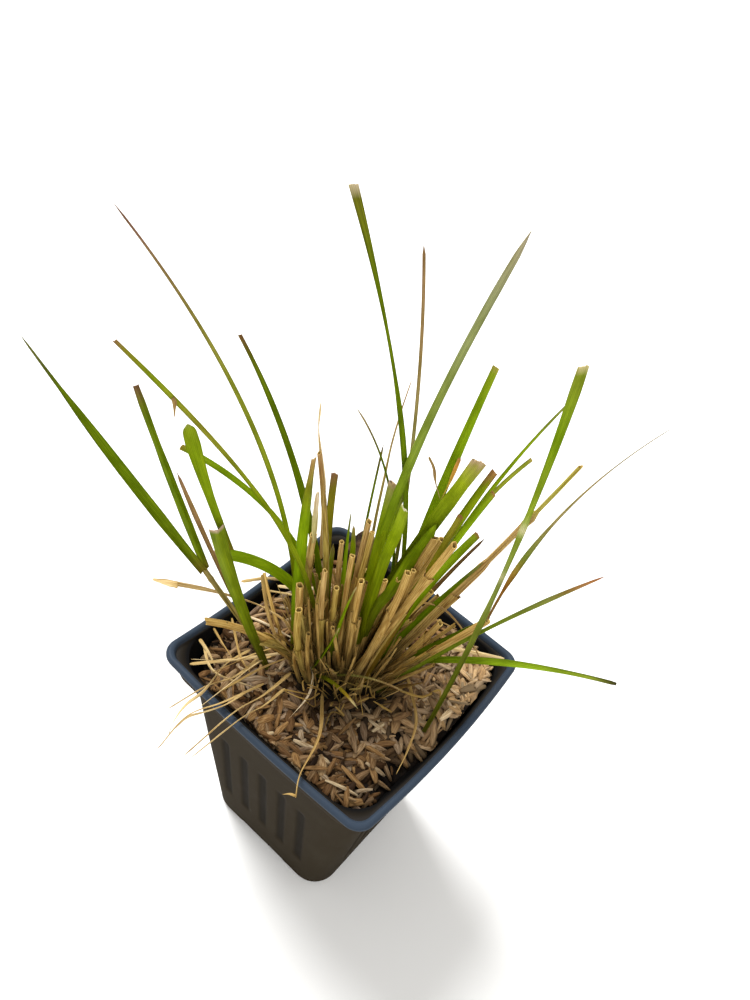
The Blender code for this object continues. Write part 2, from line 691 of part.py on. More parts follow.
def main():
    """Clear the scene and build every piece of the plant and its pot."""
    for old in list(bpy.data.objects):
        bpy.data.objects.remove(old)
    plastic = material("pot_plastic", (0.040, 0.043, 0.045), 0.45)
    soil = material("potting_soil", (0.020, 0.013, 0.009), 0.95)
    mulch = material("mulch_hulls", (0.30, 0.19, 0.10), 0.9)
    crown = material("crown_fibre", (0.22, 0.14, 0.06), 0.9)
    finishes = {
        "green_leaf": material("green_leaf", (0.10, 0.22, 0.015), 0.45),
        "dry_leaf": material("dry_leaf", (0.38, 0.24, 0.11), 0.7),
        "cut_stem": material("cut_stem", (0.42, 0.28, 0.11), 0.6),
    }
    build_pot(plastic)
    build_soil(soil)
    build_mulch(mulch)
    build_crown(crown)
    for shoot in LEAVES:
        build_leaf(shoot, finishes[shoot.material])
    for shoot in STEMS:
        build_stem(shoot, finishes[shoot.material])
    straw = material("straw", (0.60, 0.45, 0.26), 0.7)
    for strand in STRAWS:
        build_straw(strand, straw)
    build_bark(material("bark", (0.09, 0.045, 0.025), 0.95))


main()
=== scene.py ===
"""Dresses the potted feather reed grass: the pot, the mulch, the cut clump and its new blades.

Lengths are in millimetres until a mesh is made, headings run from +X towards +Y, and leans are
measured from straight up. Every piece stays where its solid is, and is only finer.
"""
import logging
import math
import random
from dataclasses import dataclass, field
from enum import Enum
from typing import Any, Sequence

import bpy
import numpy as np
from mathutils import Matrix, Vector, noise


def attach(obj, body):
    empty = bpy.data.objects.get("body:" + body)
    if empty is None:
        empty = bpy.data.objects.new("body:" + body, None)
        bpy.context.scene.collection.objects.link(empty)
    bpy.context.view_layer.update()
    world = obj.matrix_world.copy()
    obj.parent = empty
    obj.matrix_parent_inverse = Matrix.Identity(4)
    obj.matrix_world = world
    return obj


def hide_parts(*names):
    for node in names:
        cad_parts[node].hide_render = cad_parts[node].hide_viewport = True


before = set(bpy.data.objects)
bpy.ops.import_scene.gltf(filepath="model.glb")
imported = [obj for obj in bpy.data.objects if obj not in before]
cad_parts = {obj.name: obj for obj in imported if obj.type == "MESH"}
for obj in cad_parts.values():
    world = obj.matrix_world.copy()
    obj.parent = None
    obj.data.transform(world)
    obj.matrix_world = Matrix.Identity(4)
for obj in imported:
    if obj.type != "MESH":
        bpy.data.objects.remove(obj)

log = logging.getLogger("grass")

MM = 0.001
Point = tuple[float, float, float]
Pair = tuple[float, float]
Stops = tuple[tuple[float, str], ...]
Widths = tuple[Pair, ...]

FOOT_LEVEL = 95.0
MULCH_LEVEL = 93.4
BEND_POWER = 1.4
CROWN_CENTRE = (-1.0, 1.0)
CROWN_HALF = (20.5, 18.0)
CROWN_HEADING = math.radians(30.0)


def clamp(value: float) -> float:
    """Keep a value between 0 and 1."""
    return min(1.0, max(0.0, value))


def bell(off: float, reach: float) -> float:
    """Return a smooth bump: 1 at its middle, and about a third at its reach."""
    return math.exp(-((off / reach) ** 2))


def turned(x: float, y: float, angle: float) -> Pair:
    """Turn a place about the origin by an angle in radians."""
    return x * math.cos(angle) - y * math.sin(angle), x * math.sin(angle) + y * math.cos(angle)


def in_crown(turn: float, along: float, across: float) -> Pair:
    """Return the place in a direction from the crown's middle, at shares of its half sizes."""
    a, b = CROWN_HALF[0] * along * math.cos(turn), CROWN_HALF[1] * across * math.sin(turn)
    x, y = turned(a, b, CROWN_HEADING)
    return CROWN_CENTRE[0] + x, CROWN_CENTRE[1] + y


def linear(colour: str) -> np.ndarray:
    """Turn an sRGB hex colour, written as "#rrggbb", into linear light."""
    values = np.array([int(colour[place:place + 2], 16) / 255 for place in (1, 3, 5)])
    return np.where(values <= 0.04045, values / 12.92, ((values + 0.055) / 1.055) ** 2.4)


def read_off(stops: Sequence[Pair], share: float) -> float:
    """Read a value off a row of (share, value) stops."""
    return float(np.interp(share, *zip(*stops)))


def blend(stops: Stops, share: float) -> np.ndarray:
    """Read a linear colour off a row of (share, hex colour) stops."""
    table = np.array([linear(colour) for _, colour in stops])
    return np.array([np.interp(share, [at for at, _ in stops], channel) for channel in table.T])


MATHS = "ShaderNodeVectorMath"
KINDS: dict[str, tuple[str, tuple[str, ...], int | str | None, dict[str, str]]] = {
    "maths": ("ShaderNodeMath", ("operation", "Value", "Value_001"), 0, {}),
    "vector": (MATHS, ("operation", "Vector", "Vector_001"), 0, {}),
    "scaled": (MATHS, ("Vector", "Scale"), 0, {"operation": "SCALE"}),
    "length": (MATHS, ("Vector",), 1, {"operation": "LENGTH"}),
    "combine": ("ShaderNodeCombineXYZ", (), 0, {}),
    "split": ("ShaderNodeSeparateXYZ", ("Vector",), None, {}),
    "mix": ("ShaderNodeMix", ("Factor_Float", "A_Color", "B_Color", "blend_type"), 2, {"data_type": "RGBA"}),
    "ramp": ("ShaderNodeMapRange", ("Value", "From Min", "From Max", "To Min", "To Max"), 0, {}),
    "stretch": ("ShaderNodeMapping", ("Vector", "Scale"), 0, {}),
    "noise": ("ShaderNodeTexNoise", ("Vector", "Scale", "Detail", "Roughness"), "Fac", {}),
    "attribute": ("ShaderNodeAttribute", ("attribute_name",), "Fac", {}),
    "tint": ("ShaderNodeAttribute", (), "Color", {"attribute_name": "tint"}),
    "flat": ("ShaderNodeUVMap", (), 0, {"uv_map": "UVMap"}),
    "place": ("ShaderNodeTexCoord", (), "Object", {}),
    "chance": ("FunctionNodeRandomValue", ("Seed", "Min_001", "Max_001"), 1, {"data_type": "FLOAT"}),
    "chance_vector": ("FunctionNodeRandomValue", ("Seed", "Min", "Max"), 0, {"data_type": "FLOAT_VECTOR"}),
}


class Nodes:
    """Writes a node tree: each call adds one node, with its settings and links."""

    def __init__(self, tree: bpy.types.NodeTree) -> None:
        """Write into the given tree."""
        self.tree = tree

    def __call__(self, kind: str, *values: Any, **named: Any) -> Any:
        """Add a node, set its properties, and fill or link its inputs.

        Args:
            kind: a short name from KINDS, or the node's own type name.
            *values: values, hex colours or sockets for what its row in KINDS takes, in order.
            **named: more of them by the input's identifier or name, or the property's name.

        Returns:
            The output that its row in KINDS names, otherwise the first, or all where that is None.
        """
        own, takes, output, preset = KINDS.get(kind, (kind, (), 0, {}))
        node = self.tree.nodes.new(own)
        for key, value in {**preset, **dict(zip(takes, values)), **named}.items():
            if key[0].islower():
                setattr(node, key, value)
                continue
            socket = next((s for s in node.inputs if s.identifier == key), None) or node.inputs[key]
            if isinstance(value, bpy.types.NodeSocket):
                self.tree.links.new(value, socket)
            elif isinstance(value, str) and value.startswith("#"):
                socket.default_value = (*linear(value), 1.0)
            else:
                socket.default_value = value
        return node.outputs if output is None or not node.outputs else node.outputs[output]


@dataclass(frozen=True)
class Finish:
    """A surface: its name, roughness and how strong its fine relief is."""

    name: str
    roughness: float = 0.6
    relief: float = 0.2

    SHEEN = 0.5
    RELIEF_DEPTH = 0.0002

    def paint(self, nodes: Nodes) -> dict[str, Any]:
        """Add the nodes that paint the surface.

        Args:
            nodes: the material's tree.

        Returns:
            A socket for each of the shader's inputs that is painted, and one for Height, the fine relief.
        """
        raise NotImplementedError

    def build(self) -> bpy.types.Material:
        """Make the material.

        Returns:
            The new material, with constants on the shader's own sockets where nothing is painted.
        """
        made = bpy.data.materials.new(self.name)
        made.use_nodes = True
        tree = made.node_tree
        shader = tree.nodes["Principled BSDF"]
        shader.inputs["Roughness"].default_value = self.roughness
        shader.inputs["Specular IOR Level"].default_value = self.SHEEN
        nodes = Nodes(tree)
        painted = self.paint(nodes)
        height = painted.pop("Height", None)
        if height is not None:
            relief = {"Height": height, "Strength": self.relief, "Distance": self.RELIEF_DEPTH}
            painted["Normal"] = nodes("ShaderNodeBump", **relief)
        for name, socket in painted.items():
            tree.links.new(socket, shader.inputs[name])
        return made


@dataclass(frozen=True)
class RibbedBlade(Finish):
    """Grass blade, grown and partly dried: parallel veins and cloudy greens that look soft, not waxed."""

    vein_pitch: float = 0.42

    SHEEN = 0.015

    def paint(self, nodes: Nodes) -> dict[str, Any]:
        """Veins and streaks run along the blade, and clouds shift its green, all in real millimetres."""
        flat, tint = nodes("flat"), nodes("tint")
        turn = nodes("maths", "MULTIPLY", nodes("split", flat)[0], math.tau / self.vein_pitch)
        veins = nodes("maths", "SINE", turn)
        streaks = nodes("noise", nodes("stretch", flat, (2.2, 0.05, 1.0)), 1.0, 4.0, 0.6)
        clouds = nodes("noise", nodes("stretch", flat, (0.35, 0.09, 1.0)), 1.0, 3.0)
        dark = nodes("mix", 1.0, tint, "#c3c790", "MULTIPLY")
        light = nodes("mix", 0.25, tint, "#bcc420")
        colour = nodes("mix", nodes("ramp", veins, -1.0, 1.0, 0.0, 0.55), tint, dark)
        colour = nodes("mix", nodes("ramp", streaks, 0.45, 0.75, 0.0, 0.75), colour, light)
        colour = nodes("mix", nodes("ramp", clouds, 0.42, 0.70, 0.0, 0.85), colour, dark)
        return {"Base Color": colour, "Height": veins}


@dataclass(frozen=True)
class DryCulm(Finish):
    """Dead stem or sheath, dried and split into long fibres: matt straw with brown weathered streaks."""

    fibre_pitch: float = 0.22

    SHEEN = 0.04

    def paint(self, nodes: Nodes) -> dict[str, Any]:
        """Fine fibres and broader stained streaks, both drawn out along the stem."""
        flat, tint = nodes("flat"), nodes("tint")
        fibres = nodes("noise", nodes("stretch", flat, (1 / self.fibre_pitch, 0.10, 1.0)), 1.0, 3.0, 0.55)
        stains = nodes("noise", nodes("stretch", flat, (0.75, 0.055, 1.0)), 1.0, 3.0)
        dark = nodes("mix", 1.0, tint, "#b59763", "MULTIPLY")
        light = nodes("mix", 0.34, tint, "#eccb7c")
        colour = nodes("mix", nodes("ramp", fibres, 0.40, 0.62, 0.0, 0.85), light, dark)
        colour = nodes("mix", nodes("ramp", stains, 0.50, 0.74, 0.0, 0.75), colour, dark)
        return {"Base Color": colour, "Height": fibres}


@dataclass(frozen=True)
class MouldedPlastic(Finish):
    """Black polypropylene, moulded: dust and a painted floor reflection warm the wall, a painted sky
    reflection cools the smoother rim, small scuffs.
    """

    # wall: brown for dust and a painted warm floor reflection; rim: a painted cool sky reflection on the
    # lip's top
    wall: str = "#2d261b"
    rim: str = "#343e4b"
    lip: Pair = (0.1008, 0.1016)

    SHEEN = 0.035

    def paint(self, nodes: Nodes) -> dict[str, Any]:
        """The wall's brownish tone is a dust film and a painted floor reflection, and the lip's top a painted
        blue sky reflection.
        """
        place = nodes("place")
        cloud = nodes("noise", place, 55.0, 5.0, 0.6)
        scuff = nodes("noise", nodes("stretch", place, (260.0, 260.0, 60.0)), 1.0, 6.0, 0.7)
        # painted reflection: the top of the lip turns to the rim's cool blue, and is smoother
        rim_painted_reflection = nodes("ramp", nodes("split", place)[2], *self.lip)
        base = nodes("mix", rim_painted_reflection, self.wall, self.rim)
        base = nodes("mix", nodes("ramp", cloud, 0.45, 0.75, 0.0, 0.30), base, "#423e35")
        base = nodes("mix", nodes("ramp", scuff, 0.70, 0.78, 0.0, 0.30), base, "#625f55")
        # painted shade: the tint attribute darkens the grooves and, almost to black, the whole inside wall
        base = nodes("mix", nodes("ramp", nodes("attribute", "tint"), 0.0, 1.0, 0.0, 0.92), base, "#0c0d0f")
        cloudy = nodes("ramp", cloud, 0.3, 0.75, self.roughness - 0.12, self.roughness + 0.06)
        rough = nodes("maths", "ADD", cloudy, nodes("ramp", rim_painted_reflection, 0.0, 1.0, 0.42, 0.0))
        return {"Base Color": base, "Roughness": rough, "Height": nodes("noise", place, 1900.0, 2.0)}


@dataclass(frozen=True)
class DryHull(Finish):
    """Hulls and wood shreds, threshed and sun-dried: each its own tan, grey or brown, matt and ridged."""

    # damp: the dark tone of the painted shade by the crown and of the darkening towards the front corner
    damp: str = "#1f1409"
    stops: Stops = ((0.0, "#1e1209"), (0.12, "#523a22"), (0.28, "#86643e"), (0.45, "#aa8656"),
                    (0.60, "#86705a"), (0.74, "#c0a074"), (0.87, "#988470"), (1.0, "#e0caa2"))

    SHEEN = 0.12

    def paint(self, nodes: Nodes) -> dict[str, Any]:
        """Painted shade low in the layer and by the crown, darker towards the front corner, and painted light
        at the right.
        """
        place, own = nodes("place"), nodes("ShaderNodeValToRGB", Fac=nodes("attribute", "shade"))
        table = own.node.color_ramp.elements
        while len(table) < len(self.stops):
            table.new(0.5)
        for entry, (at, colour) in zip(table, self.stops):
            entry.position, entry.color = at, (*linear(colour), 1.0)
        ridges = nodes("noise", nodes("stretch", nodes("flat"), (3.2, 0.28, 1.0)), 1.0, 3.0)
        patches = nodes("noise", place, 180.0, 3.0)
        dark = nodes("mix", 1.0, own, "#9a8468", "MULTIPLY")
        colour = nodes("mix", nodes("ramp", ridges, 0.42, 0.62, 0.0, 0.8), own, dark)
        colour = nodes("mix", nodes("ramp", patches, 0.52, 0.70, 0.0, 0.5), colour, dark)
        # painted shade: grains that lie low in the layer, under the others, darken towards a deep brown
        low = nodes("ramp", nodes("attribute", "lift"), 0.0, 0.65, 0.80, 0.0)
        colour = nodes("mix", low, colour, "#2c1c0f")
        # painted shade: grains close to the crown lie under the clump and darken towards the damp tone
        away = nodes("length", nodes("vector", "MULTIPLY", place, (1.0, 1.0, 0.0)))
        colour = nodes("mix", nodes("ramp", away, 0.018, 0.030, 0.60, 0.0), colour, self.damp)
        # darker towards the front corner
        x, y, _ = nodes("split", place)
        front = nodes("maths", "SUBTRACT", x, y)
        colour = nodes("mix", nodes("ramp", front, 0.022, 0.060, 0.0, 0.35), colour, self.damp)
        # painted light: grains on the right, where the clump casts its shade, are paled and lightened by half
        # again
        bleached = nodes("maths", "MULTIPLY", nodes("ramp", x, 0.012, 0.034), nodes("ramp", y, -0.016, 0.006))
        painted_light_tone = nodes("scaled", nodes("mix", 0.16, colour, "#d2b88e"), 1.45)
        return {"Base Color": nodes("mix", bleached, colour, painted_light_tone), "Height": ridges}


@dataclass(frozen=True)
class Earth(Finish):
    """Peat, bark or a dead crown, decayed into crumbs: dark and rough, with a painted highlight on the raised
    top of each crumb.
    """

    dark: str = "#0f0a06"
    light: str = "#21160d"
    crumb: float = 1.4

    SHEEN = 0.2

    def paint(self, nodes: Nodes) -> dict[str, Any]:
        """Crumbs of the given size in millimetres."""
        crumbs = nodes("noise", nodes("place"), 1000 / self.crumb / 2, 6.0, 0.7)
        # painted highlight: the same noise raises the relief and lightens it, so the raised tops are the
        # light ones
        colour = nodes("mix", nodes("ramp", crumbs, 0.42, 0.68), self.dark, self.light)
        return {"Base Color": colour, "Height": crumbs}


@dataclass(frozen=True)
class PaleFloor(Finish):
    """Studio floor, rolled on matt: almost white, so that it leaves the eye on the plant."""

    def paint(self, nodes: Nodes) -> dict[str, Any]:
        """Almost one tone, with a faint unevenness."""
        clouds = nodes("ramp", nodes("noise", nodes("place"), 3.0, 2.0), 0.3, 0.7)
        return {"Base Color": nodes("mix", clouds, "#f7f7f6", "#fbfbfa")}


def add_object(name: str, data: Any) -> bpy.types.Object:
    """Put a new object with the given data into the scene."""
    made = bpy.data.objects.new(name, data)
    bpy.context.scene.collection.objects.link(made)
    return made


class MeshBuilder:
    """Gathers points, faces, colours and flat coordinates of one piece, and makes its mesh."""

    def __init__(self) -> None:
        """Start with nothing."""
        self.points: list[Sequence[float]] = []
        self.faces: list[tuple[int, ...]] = []
        self.tints: list[Sequence[float]] = []
        self.flats: list[Pair] = []
        self.skinned = 0

    def add_ring(self, ring: Sequence[Any], tint: Any = (0.0, 0.0, 0.0), flat: Sequence[Pair] = ()) -> None:
        """Add a ring of points.

        Args:
            ring: the points.
            tint: the linear colour of the ring, or one for each point.
            flat: the flat coordinates of the points, in millimetres.
        """
        self.points += [tuple(point) for point in ring]
        self.tints += list(np.broadcast_to(np.asarray(tint, dtype=float), (len(ring), 3)))
        self.flats += flat or [(0.0, 0.0)] * len(ring)

    def skin(self, around: int, looped: bool = False) -> None:
        """Join the rings that have been added since the last skin.

        Args:
            around: how many points a ring has.
            looped: whether the last ring joins the first, where otherwise both get a lid.
        """
        start, count = self.skinned, (len(self.points) - self.skinned) // around
        for ring in range(count if looped else count - 1):
            low, high = start + ring * around, start + (ring + 1) % count * around
            for side in range(around):
                after = (side + 1) % around
                self.faces.append((low + side, low + after, high + after, high + side))
        self.skinned = len(self.points)
        if not looped:
            self.faces.append(tuple(range(start + around - 1, start - 1, -1)))
            self.faces.append(tuple(range(self.skinned - around, self.skinned)))

    def build(self, name: str, finish: bpy.types.Material | None, smooth: float = 50.0) -> bpy.types.Object:
        """Make the object.

        Args:
            name: the piece's name.
            finish: its material.
            smooth: the angle up to which edges are shaded smooth, in degrees.

        Returns:
            The new object, at the origin.
        """
        mesh = bpy.data.meshes.new(name)
        mesh.from_pydata([(x * MM, y * MM, z * MM) for x, y, z in self.points], [], self.faces)
        tint = mesh.color_attributes.new(name="tint", type="FLOAT_COLOR", domain="POINT")
        tint.data.foreach_set("color", np.hstack([self.tints, np.ones((len(self.tints), 1))]).ravel())
        corner = np.empty(len(mesh.loops), dtype=np.int32)
        mesh.loops.foreach_get("vertex_index", corner)
        flat = np.array(self.flats, dtype=float)[corner]
        mesh.uv_layers.new(name="UVMap").data.foreach_set("uv", flat.ravel())
        mesh.shade_smooth()
        mesh.set_sharp_from_angle(angle=math.radians(smooth))
        mesh.materials.append(finish)
        return add_object(name, mesh)


def centreline(foot: Sequence[float], heading: float, lean: float, droop: float, swing: float, length: float,
               steps: int) -> tuple[list[Vector], list[Vector]]:
    """Work out a shoot's middle line.

    Args:
        foot: where it starts.
        heading: the direction that it leans in, in degrees.
        lean: its lean at the foot, in degrees from straight up.
        droop: how much more it leans at the tip.
        swing: how far its heading turns by the tip.
        length: its length.
        steps: how many steps to take.

    Returns:
        The points and the direction at each.
    """
    points, directions = [Vector(foot)], []
    for step in range(steps + 1):
        share = step / steps
        tilt = math.radians(lean + droop * share**BEND_POWER)
        turn = math.radians(heading + swing * share)
        out = math.sin(tilt)
        directions.append(Vector((out * math.cos(turn), out * math.sin(turn), math.cos(tilt))))
    for here, there in zip(directions, directions[1:]):
        points.append(points[-1] + (here + there) * (length / steps / 2))
    return points, directions


def level_axes(direction: Vector, heading: float, roll: float = 0.0) -> tuple[Vector, Vector]:
    """Return the axes across a shoot.

    Args:
        direction: which way the shoot points.
        heading: its heading in radians.
        roll: how far the axes are turned about the shoot, in degrees.

    Returns:
        The axis across, level if nothing is rolled, and the one square to both.
    """
    across = Vector((-math.sin(heading), math.cos(heading), 0.0))
    up = direction.cross(across).normalized()
    turn = math.radians(roll)
    return across * math.cos(turn) + up * math.sin(turn), up * math.cos(turn) - across * math.sin(turn)


def oval_point(centre: Vector, axes: tuple[Vector, Vector], angle: float, radius: float,
               oval: float) -> Vector:
    """Return the point at an angle on an oval whose second axis is drawn in."""
    return centre + axes[0] * (radius * math.cos(angle)) + axes[1] * (radius * oval * math.sin(angle))


def smooth_path(points: Sequence[Sequence[float]], steps: int) -> list[Vector]:
    """Draw a smooth curve through points.

    Args:
        points: the points that it passes through.
        steps: how many steps to take.

    Returns:
        The points along the curve.
    """
    guides = [Vector(point) for point in points]
    guides = [guides[0] * 2 - guides[1], *guides, guides[-1] * 2 - guides[-2]]
    spans = len(points) - 1
    path = []
    for step in range(steps + 1):
        place = spans * step / steps
        span = min(int(place), spans - 1)
        share = place - span
        before, start, end, after = guides[span:span + 4]
        path.append(start + (end - before) * (share / 2)
                    + (before * 2 - start * 5 + end * 4 - after) * (share**2 / 2)
                    + (start * 3 - before - end * 3 + after) * (share**3 / 2))
    return path


def along_path(path: Sequence[Vector], step: int) -> Vector:
    """Return the way between a point's neighbours on a path."""
    return path[min(step + 1, len(path) - 1)] - path[max(step - 1, 0)]


class End(Enum):
    """How a blade ends."""

    POINTED = "pointed"
    CUT = "cut"
    TORN = "torn"
    ROUNDED = "rounded"
    BROWNED = "browned"


FRESH: Stops = ((0.0, "#7a6420"), (0.10, "#77801a"), (0.35, "#73890c"), (0.8, "#7a900e"), (1.0, "#80901a"))
BRIGHT: Stops = ((0.0, "#86702a"), (0.10, "#7f9114"), (0.5, "#86a210"), (0.9, "#829e14"), (1.0, "#8a9a24"))
DEEP: Stops = ((0.0, "#6e5e22"), (0.10, "#64760c"), (0.5, "#5d7406"), (0.85, "#5c6e0a"), (1.0, "#6a661e"))
SUNK: Stops = ((0.0, "#4a4510"), (0.2, "#545a10"), (0.45, "#66740f"), (0.8, "#6f7f16"), (1.0, "#70801a"))
FADED: Stops = ((0.0, "#5e5a10"), (0.3, "#86a208"), (0.5, "#7d9424"), (0.7, "#83904a"), (0.88, "#979a74"),
                (1.0, "#a79a86"))
RUSTY: Stops = ((0.0, "#64541a"), (0.3, "#7d7a3a"), (0.55, "#a09560"), (0.8, "#a2835e"), (1.0, "#9c7c60"))
WOODY: Stops = ((0.0, "#7a5a1c"), (0.4, "#8a6e2e"), (0.75, "#7f7a18"), (1.0, "#8c822c"))
# the stem tables run from foot to cut top; their dark first stops are painted shade where the stems enter the
# crown
STRAW: Stops = ((0.0, "#36260c"), (0.18, "#6b5020"), (0.4, "#99793a"), (0.75, "#ae8d4c"), (1.0, "#b59656"))
OLIVE: Stops = ((0.0, "#1c1205"), (0.08, "#423310"), (0.24, "#766420"), (0.55, "#938026"), (0.9, "#a38d3c"),
                (1.0, "#ab9548"))
PINKISH: Stops = ((0.0, "#1c1205"), (0.08, "#453416"), (0.24, "#7a6032"), (0.55, "#a0824c"), (1.0, "#b99c6c"))
GOLDEN: Stops = ((0.0, "#221606"), (0.08, "#523c14"), (0.24, "#8c6c2c"), (0.5, "#ae8c44"), (0.85, "#bd9c56"),
                 (1.0, "#b99a5a"))
PALE: Stops = ((0.0, "#b39a6c"), (0.4, "#dccaa0"), (1.0, "#e3d4b2"))
WHITE: Stops = ((0.0, "#d8c8a0"), (0.3, "#fbf3e0"), (1.0, "#fdf8ec"))
TAN: Stops = ((0.0, "#8a6f40"), (0.5, "#b29564"), (1.0, "#a3875a"))
BROWN: Stops = ((0.0, "#5f4426"), (0.5, "#7d5e40"), (1.0, "#8d6d50"))


@dataclass(frozen=True)
class Piece:
    """A piece that is skinned ring by ring."""

    name: str

    def add_to(self, builder: MeshBuilder) -> None:
        """Add the piece's rings and skin to a builder."""
        raise NotImplementedError

    def build(self, finish: bpy.types.Material) -> bpy.types.Object:
        """Make the piece as an object of its own."""
        builder = MeshBuilder()
        self.add_to(builder)
        return builder.build(self.name, finish)


@dataclass(frozen=True)
class Shoot(Piece):
    """A blade or stem: its foot, the way it leans and bends, and its length."""

    foot: Pair
    heading: float
    lean: float
    droop: float
    swing: float
    length: float

    def bent_line(self, level: float, steps: int) -> tuple[list[Vector], list[Vector]]:
        """Return the points and directions of the shoot's middle line, from its foot at a level."""
        return centreline((*self.foot, level), self.heading, self.lean, self.droop, self.swing,
                          self.length, steps)


@dataclass(frozen=True)
class Blade(Shoot):
    """One grass blade: its widths, its colours and how it ends."""

    widths: Widths
    roll: float = 0.0
    end: End = End.CUT
    colours: Stops = FRESH
    fold: float = 0.25
    end_colour: str = "#a9946c"
    level: float = FOOT_LEVEL
    marks: tuple[tuple[float, float, str], ...] = ()
    path: tuple[Point, ...] = ()

    STEPS = 50
    COLUMNS = 10
    SLIPS_FROM = 0.94

    def width_at(self, share: float) -> float:
        """Work out the width.

        Args:
            share: the share of the length.

        Returns:
            The width there, drawn in where the end is rounded or pointed.
        """
        width = read_off(self.widths, share)
        if self.end is End.ROUNDED:
            width *= math.sqrt(max(0.03, 1 - max(0.0, (share - 0.95) / 0.05) ** 2))
        if self.end is End.POINTED:
            width *= max(0.12, min(1.0, (1 - share) * self.length / 2.5))
        return width

    def tint_at(self, share: float, side: float) -> np.ndarray:
        """Work out the colour at a place: the blade's green, its marks, and its dried or torn end.

        Args:
            share: the share of the length.
            side: the place across, from -1 to 1.

        Returns:
            The linear colour.
        """
        rib = max(0.0, 1 - abs(side) * 4)
        colour = blend(self.colours, share) * (1.0 - 0.14 * abs(side) ** 4 + 0.10 * rib)
        for at, reach, mark in self.marks:
            colour = colour + (linear(mark) - colour) * bell((share - at) * self.length, reach)
        reach = {End.CUT: 1.1, End.TORN: 2.6, End.ROUNDED: 1.0, End.POINTED: self.length * 0.16,
                 End.BROWNED: self.length * 0.08}[self.end]
        ragged = reach * (1 + 0.5 * noise.noise(Vector((side * 1.7, self.heading, 0.3))))
        dried = max(0.0, 1 - self.length * (1 - share) / ragged) ** 0.8
        return colour + (linear(self.end_colour) - colour) * dried

    def add_to(self, builder: MeshBuilder) -> None:
        """Add the blade as a thin, folded, ribbed sheet with real thickness.

        Args:
            builder: what gathers the piece.
        """
        sides = [2 * column / (self.COLUMNS - 1) - 1 for column in range(self.COLUMNS)]
        for step, (point, direction) in enumerate(zip(*self.middle_line())):
            share = step / self.STEPS
            across, up = level_axes(direction, math.radians(self.heading + self.swing * share), self.roll)
            half = self.width_at(share) / 2
            curl = 0.4 * (1 - 0.6 * min(1.0, share / 0.4))
            wave = 0.12 * noise.noise(Vector((share * 5, self.heading, 1.0)))
            upper, lower = [], []
            for side in sides:
                rise = half * (self.fold * abs(side) + curl * side * side + wave * side)
                thick = 0.10 + 0.12 * max(0.0, 1 - abs(side) * 3) + 0.03 * math.cos(side * math.pi * 4)
                slip = self.end_slip(side) * max(0.0, (share - self.SLIPS_FROM) / (1 - self.SLIPS_FROM))
                centre = point + across * (half * side) + direction * slip
                upper.append(centre + up * (rise + thick))
                lower.append(centre + up * (rise - thick))
            tint = [self.tint_at(share, side) for side in sides]
            flat = [(side * half, share * self.length) for side in sides]
            builder.add_ring(upper + lower[::-1], tint + tint[::-1], flat + flat[::-1])
        builder.skin(2 * self.COLUMNS)

    def middle_line(self) -> tuple[list[Vector], list[Vector]]:
        """Return the blade's points and directions, from its angles or through the points of its path."""
        if not self.path:
            return self.bent_line(self.level, self.STEPS)
        points = smooth_path(self.path, self.STEPS)
        return points, [along_path(points, step).normalized() for step in range(self.STEPS + 1)]

    def end_slip(self, side: float) -> float:
        """Work out the slanted or torn edge of the end.

        Args:
            side: the place across, from -1 to 1.

        Returns:
            How far the end reaches there, past the full length or short of it.
        """
        ragged = noise.noise(Vector((side * 2.6, self.heading * 0.1, 5.0)))
        if self.end is End.TORN:
            return -1.9 * abs(ragged) - 1.0 * (side + 1) / 2
        if self.end in (End.CUT, End.BROWNED):
            return 0.30 * side * self.width_at(1.0) / 3 + 0.35 * ragged
        return 0.0


